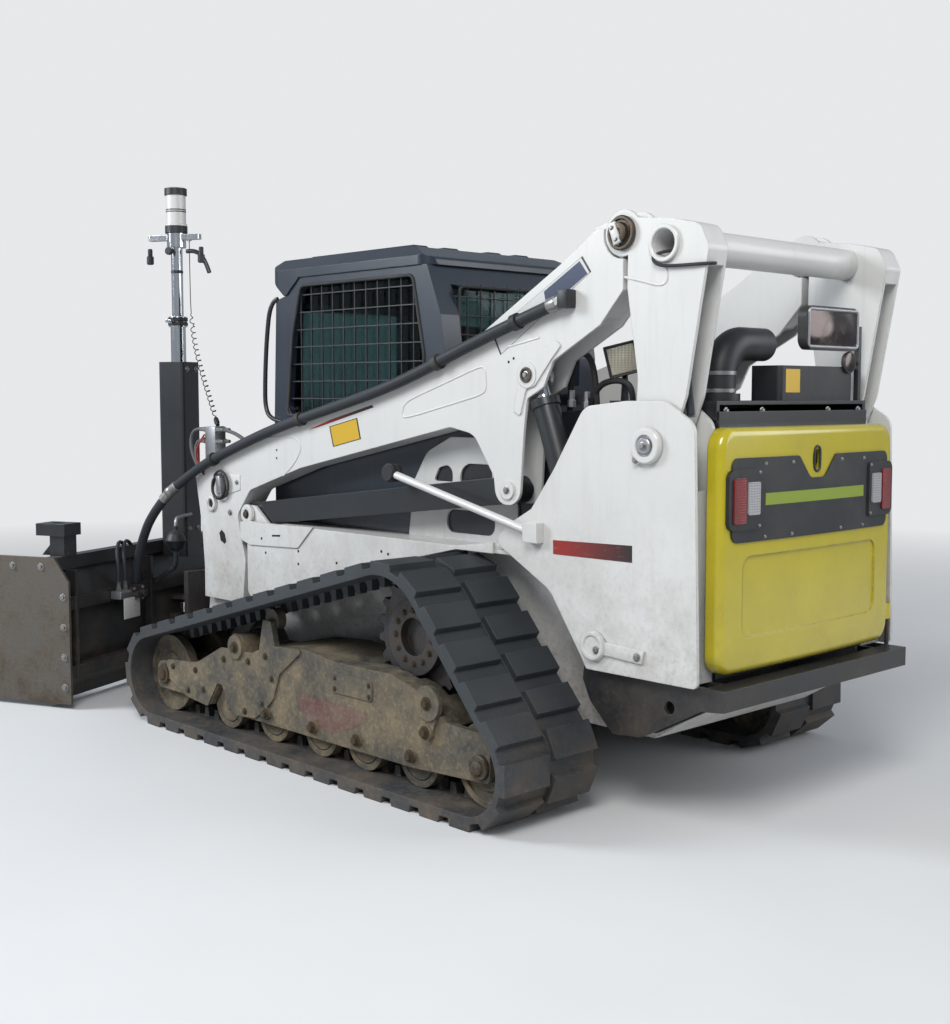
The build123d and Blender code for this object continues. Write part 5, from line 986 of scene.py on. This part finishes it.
# pieces of the left side that the right side has too, by body
BOTH_SIDES = {
    "lift_arm": ("arm_loop_bead", "arm_knee_bead", "arm_seam_bead", "arm_slot_shadow", "knee_ring", "knee_bore_shadow",
                 "rod_pin_bushing", "arm_pin_bolts"),
    "rear_link": ("link_pin_cap", "link_pin_keeper", "link_pin_bolts", "link_tube_rim", "link_weld"),
    "chassis": ("upper_pin_boss", "upper_pin_end", "upper_pin_tab", "lower_pin_boss", "lower_pin_bar",
                "upright_bolts", "fender_hole_shadows", "shelf_hole_shadow", "shelf_slot_shadow", "front_pin_collar",
                "front_pin_bolt", "cover_bolts", "access_bolts", "axle_nuts", "idler_axle_caps", "hub_bolts"),
}


def make_right_side():
    """Mirrored copies of the left side's pins, beads, bolts and painted shade of holes, each with its own
    mesh.
    """
    flip = Matrix.Translation((0.0, 2 * SHIFT.y, 0.0)) @ Matrix.Scale(-1.0, 4, LEFT)
    for body, names in BOTH_SIDES.items():
        for name in names:
            left = bpy.data.objects[name]
            right = bpy.data.objects.new(f"{name}_right", left.data.copy())
            right.data.transform(flip)
            if right.type == "MESH":
                right.data.flip_normals()
            bpy.context.scene.collection.objects.link(right)
            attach(right, body)



# ---------------------------------------------------------------- cab
SIDE_WINDOW = ((0.8, 1.37), (0.77, 1.595), (0.838, 1.918), (1.585, 1.918), (1.65, 1.7), (1.69, 1.353))
REAR_WINDOW = ((0.686, -0.33, 1.49), (0.686, -0.33, 1.87), (0.686, 0.33, 1.87), (0.686, 0.33, 1.49))
GRAB_LOOP = ((1.795, 1.862), (1.829, 1.692), (1.845, 1.5), (1.845, 1.381), (1.796, 1.333))
DOOR_HANDLE = (
    (1.834, 0.345, 1.36), (1.88, 0.345, 1.365), (1.884, 0.345, 1.42), (1.884, 0.345, 1.47),
    (1.834, 0.345, 1.48),
)
GASKET_RADIUS = 0.007
SCREEN_REAR, SCREEN_FRONT = 0.706, 0.711
SCREEN_WIRE = 0.005
SCREEN_PITCH = 0.075


def wire_ends(start):
    """Section of a screen wire that starts across or up at a place."""
    end = start + SCREEN_WIRE
    return (SCREEN_REAR, start), (SCREEN_FRONT, start), (SCREEN_FRONT, end), (SCREEN_REAR, end)


def make_cab_trim():
    """Window gaskets, rear screen, grab loops and the door's handle."""
    for side, name in ((-1, "right"), (1, "left")):
        outline = side_spots(side * 0.4405, SIDE_WINDOW)
        line_piece(f"side_gasket_{name}", rounded_loop(outline, 0.055), GASKET_RADIUS, GASKET, "chassis",
            True)
        loop = [spot(1.76, side * 0.436, 1.87), *side_spots(side * 0.452, GRAB_LOOP),
                spot(1.74, side * 0.436, 1.325)]
        line_piece(f"grab_loop_{name}", loop, 0.01, BLACK, "chassis")
    outline = rounded_loop(spots(REAR_WINDOW), 0.05)
    line_piece("rear_gasket", outline, GASKET_RADIUS, GASKET, "chassis", True)
    parts = []
    for number in range(8):
        y = -0.2625 + SCREEN_PITCH * number
        corners = [spot(x, y, 1.475) for x, y in wire_ends(y)]
        parts.append(flat(corners, (0.0, 0.0, 0.41)))
    for number in range(5):
        z = 1.53 + SCREEN_PITCH * number
        parts.append(flat(side_spots(-0.345, wire_ends(z)), (0.0, 0.69, 0.0)))
    finish_piece("rear_window_screen", parts, BLACK, "chassis")
    line_piece("door_handle", spots(DOOR_HANDLE), 0.009, BLACK, "front_door")


LAMP_PLACE = (-0.212, 0.398, 1.565)
LAMP_FACING = (-0.72, 0.69, -0.06)
LAMP_ROLL = math.radians(45 + 14)
LAMP_SHELL = (
    (-0.064, 0.03), (-0.06, 0.044), (-0.034, 0.072), (-0.004, 0.08), (0.006, 0.08), (0.006, 0.07),
    (-0.002, 0.068),
)
LAMP_STALK = ((-0.222, 1.392), (-0.188, 1.392), (-0.188, 1.41), (-0.196, 1.54), (-0.214, 1.54),
    (-0.222, 1.41))


def make_work_lamp():
    """Square lamp turned out to the left rear: tapered shell, stalk and prism lens."""
    place = spot(*LAMP_PLACE)
    shell = turned(place, LAMP_FACING, LAMP_SHELL, 4, roll=LAMP_ROLL)
    case = finish_piece("lamp_shell", [shell], BLACK_PLASTIC, "chassis", 0.004)
    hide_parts("work_lamp")
    pane = turned(place, LAMP_FACING, ((-0.003, 0.067), (0.002, 0.067), (0.004, 0.062)), 4, roll=LAMP_ROLL)
    finish_piece("lamp_lens", [pane], WORK_LENS, "chassis", 0.002)
    side_plate("lamp_stalk", LAMP_STALK, 0.371, 0.379, BLACK, "chassis", 0.002)


# ---------------------------------------------------------------- rear of the machine
STRIPE_LOW = 1.087
STRIPE_WAYS = [-0.3 + 0.05 * number for number in range(13)]
LATCH_HEIGHT = 1.229


def make_tail_trim():
    """Stripe, latch rim and screws on the tailgate."""
    corners = [on_tailgate(y, STRIPE_LOW, 0.0068) for y in STRIPE_WAYS]
    corners += [on_tailgate(y, STRIPE_LOW, 0.004) for y in reversed(STRIPE_WAYS)]
    plate_piece("tail_stripe", corners, (0.0, 0.0, 0.039), GREEN_STRIPE, "tail_door")
    latch = []
    for number in range(16):
        angle = 2 * math.pi * number / 16
        lift = 0.024 if math.sin(angle) > 0 else -0.024
        latch.append(on_tailgate(0.012 * math.cos(angle) * 1.5, LATCH_HEIGHT + lift + 0.018
            * math.sin(angle), 0.001))
    line_piece("latch_rim", latch, BEAD_RADIUS, BLACK_PLASTIC, "tail_door", True)
    screws = [on_tailgate(y, z, 0.006) for y in (-0.3, -0.15, 0.15, 0.3) for z in (0.984, 1.222)]
    bolt_group("panel_screws", screws, BACK, 0.0045, BOLT, "tail_door")
    screws = [on_tailgate(y, z, 0.014) for y in (-0.341, 0.341) for z in (1.196, 1.024)]
    bolt_group("bezel_screws", screws, BACK, 0.004, BOLT, "tail_door")


MIRROR_FACE = (
    (-0.385, 1.625), (-0.385, 1.728), (-0.372, 1.738), (-0.088, 1.738), (-0.075, 1.728), (-0.075, 1.625),
    (-0.088, 1.614), (-0.372, 1.614),
)
MIRROR_RIM = ((-0.388, 1.611), (-0.388, 1.741), (-0.072, 1.741), (-0.072, 1.611))
FILTER_LABEL = ((-0.055, 1.452), (0.03, 1.452), (0.03, 1.532), (-0.055, 1.532))
ELBOW_CLAMP = ((0.0, 0.0565), (0.001, 0.0585), (0.013, 0.0585), (0.014, 0.0565))
PIPE_NUT = ((0.0, 0.016), (0.024, 0.016), (0.026, 0.012), (0.06, 0.012))
COVER_PIPES = (
    ((-0.1, 0.4, 1.395), (-0.11, 0.418, 1.52), (-0.07, 0.425, 1.6), (0.000, 0.425, 1.56),
     (0.03, 0.4, 1.385)),
    ((-0.25, 0.39, 1.395), (-0.27, 0.4, 1.47), (-0.2, 0.415, 1.5), (-0.1, 0.415, 1.47),
     (-0.06, 0.395, 1.385)),
)


def rear_spots(x, outline):
    """Places in the rear view. Outline rows: y, z."""
    return [spot(x, y, z) for y, z in outline]


def make_rear_trim():
    """Mirror glasses, elbow clamps, filter label and cover bolts."""
    plate_piece("mirror_face", rear_spots(-0.6475, MIRROR_FACE), (-0.002, 0.0, 0.0), MIRROR, "chassis",
        0.0006)
    rim = rounded_loop(rear_spots(-0.649, MIRROR_RIM), 0.03)
    line_piece("mirror_rim", rim, 0.0055, STEEL_GREY, "chassis", True)
    middle = spot(-0.632, -0.36, 1.56)
    shell = ((-0.016, 0.02), (-0.008, 0.036), (0.004, 0.04), (0.008, 0.038))
    turned_piece("round_mirror_shell", middle, BACK, shell, MIRROR_SHELL, "chassis")
    face = ((0.006, 0.035), (0.009, 0.034), (0.011, 0.02))
    turned_piece("round_mirror_face", middle, BACK, face, MIRROR, "chassis")
    arm = spots(((-0.626, -0.415, 1.56), (-0.624, -0.395, 1.56), (-0.624, -0.36, 1.56)))
    line_piece("round_mirror_arm", arm, 0.006, MIRROR_SHELL, "chassis")
    places = spots(((-0.56, 0.32, 1.45), (-0.56, 0.32, 1.508)))
    turned_group("elbow_clamps", places, UP, ELBOW_CLAMP, BOLT, "chassis")
    plate_piece("filter_label", rear_spots(-0.6278, FILTER_LABEL), (-0.0012, 0.0, 0.0), LABEL_YELLOW,
        "chassis")
    heads = [spot(-0.65, y, 1.392) for y in (-0.4, -0.2, 0.2, 0.4)]
    bolt_group("hood_bolts", heads, BACK, 0.008, BOLT, "chassis")
    for number, pipe in enumerate(COVER_PIPES):
        line_piece(f"cover_pipe_{number + 1}", spots(pipe), 0.011, GASKET, "chassis")
    nuts = side_spots(0.41, ((-0.06, 1.395), (0.012, 1.4)))
    turned_group("cover_pipe_nuts", nuts, UP, PIPE_NUT, STEEL_GREY, "chassis", 6)


# ---------------------------------------------------------------- blade and mast
BLADE_OUT = Vector((-math.sin(BLADE_TURN), math.cos(BLADE_TURN), 0.0))
BLADE_AHEAD = Vector((math.cos(BLADE_TURN), math.sin(BLADE_TURN), 0.0))
END_FACE = BLADE_HALF + 0.014
END_BOLTS_FORWARD = BLADE_FRONT - 0.1
END_BOLT_HEIGHTS = (0.1, 0.24, 0.38, 0.52)


def make_blade_trim():
    """Bolts on the end plates and along the cutting edge."""
    ends = [on_blade(END_BOLTS_FORWARD, END_FACE, z) for z in END_BOLT_HEIGHTS]
    ends += [on_blade(forward, END_FACE, 0.655) for forward in (0.2, 0.36, 0.5)]
    bolt_group("end_plate_bolts", ends, BLADE_OUT, 0.012, BOLT, "blade")
    ends = [on_blade(END_BOLTS_FORWARD, -END_FACE, z) for z in END_BOLT_HEIGHTS]
    bolt_group("end_plate_bolts_right", ends, -BLADE_OUT, 0.012, BOLT, "blade")
    edge = [on_blade(BLADE_FRONT + 0.017, -1.1 + 0.2 * number, 0.11) for number in range(12)]
    bolt_group("edge_bolts", edge, BLADE_AHEAD, 0.012, BOLT, "blade")


CHARGE_BALL = (
    (-0.078, 0.014), (-0.054, 0.014), (-0.05, 0.018), (-0.042, 0.03), (-0.026, 0.042), (-0.006, 0.0485),
    (-0.003, 0.0515), (0.003, 0.0515), (0.006, 0.0485), (0.026, 0.042), (0.042, 0.03), (0.05, 0.016),
    (0.054, 0.012), (0.072, 0.012),
)
DATA_PLATE = ((0.735, 0.468), (0.862, 0.468), (0.862, 0.368), (0.735, 0.368))
WING = ((0.008, 0.775), (0.068, 0.775), (0.068, 0.878), (0.008, 0.878))
NIPPLE = ((0.0, 0.014), (0.022, 0.014), (0.024, 0.01), (0.048, 0.01))


def below(place, drop):
    """Place straight below another, or above it where the drop is negative."""
    return place - Vector((0.0, 0.0, drop))


def make_blade_fittings():
    """Blank data plate under the manifold, and the charge ball with its neck pipe and hose."""
    corners = [on_blade(0.001, left, z) for left, z in DATA_PLATE]
    plate_piece("blade_data_plate", corners, BLADE_AHEAD * 0.0035, LABEL_WHITE, "blade", 0.0008)
    ball = on_blade(*BALL)
    turned_piece("charge_ball", ball, UP, CHARGE_BALL, MIRROR_SHELL, "blade")
    neck = (below(ball, -0.066), below(ball, -0.11), on_blade(-0.042, 0.44, 0.832),
        on_blade(-0.038, 0.336, 0.836))
    line_piece("charge_neck", neck, 0.009, STEEL_GREY, "blade")
    tail = (below(ball, 0.07), below(ball, 0.13), on_blade(-0.01, 0.5, 0.56), on_blade(0.05, 0.5, 0.52),
            on_blade(0.085, 0.5, 0.49))
    line_piece("charge_hose", tail, 0.012, HOSE, "blade")
    # wing of the manifold with its two nipples and their formed hoses over the top bar
    corners = [on_blade(forward, left, 0.465) for forward, left in WING]
    plate_piece("manifold_wing", corners, (0.0, 0.0, 0.038), STEEL_GREY, "blade", 0.004)
    parts = []
    for number, left in enumerate((0.852, 0.8)):
        parts.append(turned(on_blade(0.038, left, 0.5), UP, NIPPLE, 6))
        pipe = ((0.038, left, 0.54), (0.038, left, 0.62), (0.06, left - 0.02, 0.7),
                (0.11, left - 0.11, 0.735), (0.14, left - 0.2, 0.7), (0.145, left - 0.23, 0.65))
        line_piece(f"blade_pipe_{number + 1}", [on_blade(*place) for place in pipe], 0.009, HOSE, "blade")
    finish_piece("manifold_nipples", parts, BOLT, "blade")


TUBE_RING = ((2.06, 0.0288), (2.062, 0.0305), (2.074, 0.0305), (2.076, 0.0288))
KNOB = ((-0.04, 0.012), (-0.036, 0.018), (0.0, 0.018), (0.004, 0.012), (0.036, 0.012), (0.04, 0.009))
SIDE_KNOB = ((0.0, 0.012), (0.03, 0.012), (0.034, 0.02), (0.05, 0.02), (0.054, 0.016))
COLLAR = (
    (1.796, 0.0462), (1.798, 0.05), (1.812, 0.05), (1.814, 0.0462), (1.82, 0.0462), (1.822, 0.05),
    (1.836, 0.05), (1.838, 0.0462),
)


def at_mast(z, forward=0.0, left=0.0):
    """A place by the mast's middle line."""
    return on_blade(MAST_FORWARD + forward, MAST_LEFT + left, z)


def make_mast_trim():
    """Receiver's caps and band, the clamp's knobs and handle, collar and housing bolts."""
    middle = at_mast(0.0)
    parts = []
    for low, high in ((2.262, 2.3), (2.452, 2.487)):
        cap = ((low, 0.05), (low, 0.0562), (high - 0.003, 0.0562), (high, 0.053), (high, 0.05))
        parts.append(turned(middle, UP, cap))
    for low in (2.366, 2.376):
        band = ((low, 0.0492), (low, 0.0502), (low + 0.005, 0.0502), (low + 0.005, 0.0492))
        parts.append(turned(middle, UP, band))
    finish_piece("receiver_caps", parts, BLACK_PLASTIC, "mast")
    turned_piece("mast_tube_ring", middle, UP, TUBE_RING, BLACK, "mast")
    parts = [turned(at_mast(2.15, forward), UP, KNOB, 20) for forward in (-0.145, 0.16)]
    parts.append(turned(at_mast(2.168, left=0.026), BLADE_OUT, SIDE_KNOB, 16))
    finish_piece("bracket_knobs", parts, BLACK, "mast")
    handle = (at_mast(2.17, -0.06), at_mast(2.176, -0.11), at_mast(2.13, -0.16, -0.01),
              at_mast(2.06, -0.185, -0.01))
    line_piece("bracket_handle", handle, 0.011, BLACK, "mast")
    turned_group("mast_collar", [middle], UP, COLLAR, BLACK, "mast")
    bolts = [at_mast(z, -0.075, left) for z in (1.575, 0.76) for left in (0.04, -0.04)]
    bolt_group("housing_bolts", bolts, -BLADE_AHEAD, 0.01, BOLT, "blade")
    bolts = [on_blade(BLADE_FRONT - 0.176, left, z) for left in (0.706, 0.774) for z in (0.455, 0.505)]
    bolt_group("manifold_bolts", bolts, -BLADE_AHEAD, 0.007, BOLT, "blade")


# ---------------------------------------------------------------- operator's seat
SEAT_X = 0.98
SEAT_Z = 1.12
SEAT_LEAN = math.radians(-8)
SEAT_BASE = (
    (SEAT_X + 0.03, 0.927), (SEAT_X + 0.06, SEAT_Z - 0.02), (SEAT_X + 0.02, SEAT_Z + 0.012),
    (SEAT_X + 0.42, SEAT_Z + 0.012), (SEAT_X + 0.39, SEAT_Z - 0.02), (SEAT_X + 0.4, 0.927),
)
PAD_CAP = 0.022
BLOW_FRAMES = 15


def soft_pad(name, middle, size, lean=0.0):
    """Cushion: a rounded slab, blown up a little by a cloth simulation."""
    bpy.ops.mesh.primitive_cube_add(size=1.0, location=middle, rotation=(0.0, lean, 0.0), scale=size)
    bpy.ops.object.transform_apply(location=True, rotation=True, scale=True)
    edit(bpy.context.object)
    bpy.ops.mesh.bevel(offset=min(size) * 0.38, segments=5, profile=0.5, affect="EDGES")
    piece = finish_piece(name, [close_edit()], SEAT_VINYL, "chassis")
    remesh = piece.modifiers.new("remesh", "REMESH")
    remesh.mode = "VOXEL"
    remesh.voxel_size = 0.007
    apply_modifiers(piece)
    start = [vertex.co.copy() for vertex in piece.data.vertices]
    cloth = piece.modifiers.new("blow", "CLOTH")
    cloth.settings.use_pressure = True
    cloth.settings.uniform_pressure_force = 4.0
    cloth.settings.effector_weights.gravity = 0.0
    for frame_number in range(1, BLOW_FRAMES + 1):
        bpy.context.scene.frame_set(frame_number)
    apply_modifiers(piece)
    bpy.context.scene.frame_set(1)
    for vertex, place in zip(piece.data.vertices, start):
        moved = vertex.co - place
        if moved.length > PAD_CAP:
            vertex.co = place + moved * (PAD_CAP / moved.length)
    piece.data.shade_smooth()


def make_seat():
    """Cushion, back and base in place of the plain chair."""
    soft_pad("seat_cushion", spot(SEAT_X + 0.22, 0.0, SEAT_Z + 0.055), (0.4, 0.42, 0.085))
    soft_pad("seat_back", spot(SEAT_X - 0.052, 0.0, SEAT_Z + 0.37), (0.085, 0.4, 0.5), SEAT_LEAN)
    corners = side_spots(-0.15, SEAT_BASE)
    base = plate_piece("seat_base", corners, (0.0, 0.3, 0.0), BLACK_PLASTIC, "chassis", 0.006)
    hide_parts("operator_chair")


# ---------------------------------------------------------------- stage
FLOOR_COLOUR = (0.64, 0.645, 0.65)
HORIZON_COLOUR = (0.8, 0.81, 0.82)
SKY_COLOUR = (0.72, 0.78, 0.86)
# name, place, aimed at, size, watts, colour
LIGHTS = (
    ("key", (-3.5, 5.5, 6.5), (0.6, 0.0, 0.8), 4.0, 520.0, (1.0, 0.99, 0.97)),
    ("rim", (5.5, 5.5, 4.5), (1.2, 0.0, 1.0), 3.0, 420.0, (0.9, 0.95, 1.0)),
    ("fill", (-5.0, -4.0, 3.5), (0.0, 0.0, 0.9), 5.0, 170.0, (0.95, 0.97, 1.0)),
)
CAMERA_PLACE = (-3.2584, 3.9958, 1.4411)
CAMERA_YAW = math.radians(43.56)
CAMERA_PITCH = math.radians(4.92)
CAMERA_LENS = 47.55


def choose(tree, share, first, second, output):
    """Mix two shaders by a share, and put the result out."""
    mix = node(tree, "ShaderNodeMixShader", Fac=share)
    give(mix.inputs[1], first)
    give(mix.inputs[2], second)
    feed(output, Surface=mix.outputs["Shader"])


def make_floor():
    """Plain pale floor that passes into the pale surroundings far from the machine."""
    bpy.ops.object.select_all(action="DESELECT")
    bpy.ops.mesh.primitive_plane_add(size=400.0, location=(0.0, 0.0, -0.001))
    floor = bpy.context.object
    floor.name = "studio_floor"
    material, tree, shader = new_material("pale_floor", Roughness=0.85)
    tone = spread(tree, noise(tree, 1.5, 2.0, 0.5), 0.3, 0.7)
    feed(shader, Base_Color=coats(tree, FLOOR_COLOUR, (tone, tuple(part - 0.02 for part in FLOOR_COLOUR))))
    reach = node(tree, "ShaderNodeVectorMath", operation="LENGTH", Vector=own_place(tree)).outputs["Value"]
    path = node(tree, "ShaderNodeLightPath").outputs
    far = calc(tree, "MULTIPLY", spread(tree, reach, 3.5, 10.0), path["Is Camera Ray"])
    seen = node(tree, "ShaderNodeEmission", Color=HORIZON_COLOUR, Strength=1.0)
    choose(tree, far, shader.outputs["BSDF"], seen.outputs["Emission"], tree.nodes["Material Output"])
    floor.data.materials.append(material)


def make_world():
    """Soft surroundings: pale where seen, dimmer as light."""
    world = bpy.data.worlds.new("studio")
    bpy.context.scene.world = world
    world.use_nodes = True
    tree = world.node_tree
    tree.nodes.clear()
    output = node(tree, "ShaderNodeOutputWorld")
    seen = node(tree, "ShaderNodeBackground", Color=HORIZON_COLOUR, Strength=1.0).outputs["Background"]
    light = node(tree, "ShaderNodeBackground", Color=SKY_COLOUR, Strength=0.42).outputs["Background"]
    path = node(tree, "ShaderNodeLightPath").outputs
    either = calc(tree, "MAXIMUM", path["Is Camera Ray"], path["Is Transmission Ray"])
    choose(tree, either, light, seen, output)


def place_looking(name, data, start, way):
    """Put a lamp or a camera at a place, looking along a way."""
    thing = bpy.data.objects.new(name, data)
    bpy.context.scene.collection.objects.link(thing)
    thing.location = start
    thing.rotation_euler = way.to_track_quat("-Z", "Y").to_euler()
    return thing


def make_lights():
    """Key, rim and fill light."""
    for name, place, aim, size, power, colour in LIGHTS:
        data = bpy.data.lights.new(name, "AREA")
        data.shape = "DISK"
        data.size = size
        data.energy = power
        data.color = colour
        place_looking(name, data, spot(*place), spot(*aim) - spot(*place))


def make_camera():
    """Camera behind the machine's left corner."""
    data = bpy.data.cameras.new("camera")
    data.lens = CAMERA_LENS
    data.sensor_width = 36.0
    level = math.cos(CAMERA_PITCH)
    way = Vector((level * math.cos(CAMERA_YAW), -level * math.sin(CAMERA_YAW), -math.sin(CAMERA_PITCH)))
    bpy.context.scene.camera = place_looking("camera", data, spot(*CAMERA_PLACE), way)


make_camera()
make_cords()
BOLT_MODEL = make_bolt_model()
dress_nodes()
make_arm_trim()
make_hose_clamps()
make_cable_bracket()
make_coupling_block()
make_link_trim()
make_upright_trim()
make_track_trim()
make_right_side()
make_cab_trim()
make_work_lamp()
make_tail_trim()
make_rear_trim()
make_blade_trim()
make_blade_fittings()
make_mast_trim()
make_seat()
bpy.data.objects.remove(BOLT_MODEL)
make_floor()
make_world()
make_lights()
bpy.context.scene.view_settings.view_transform = "Standard"
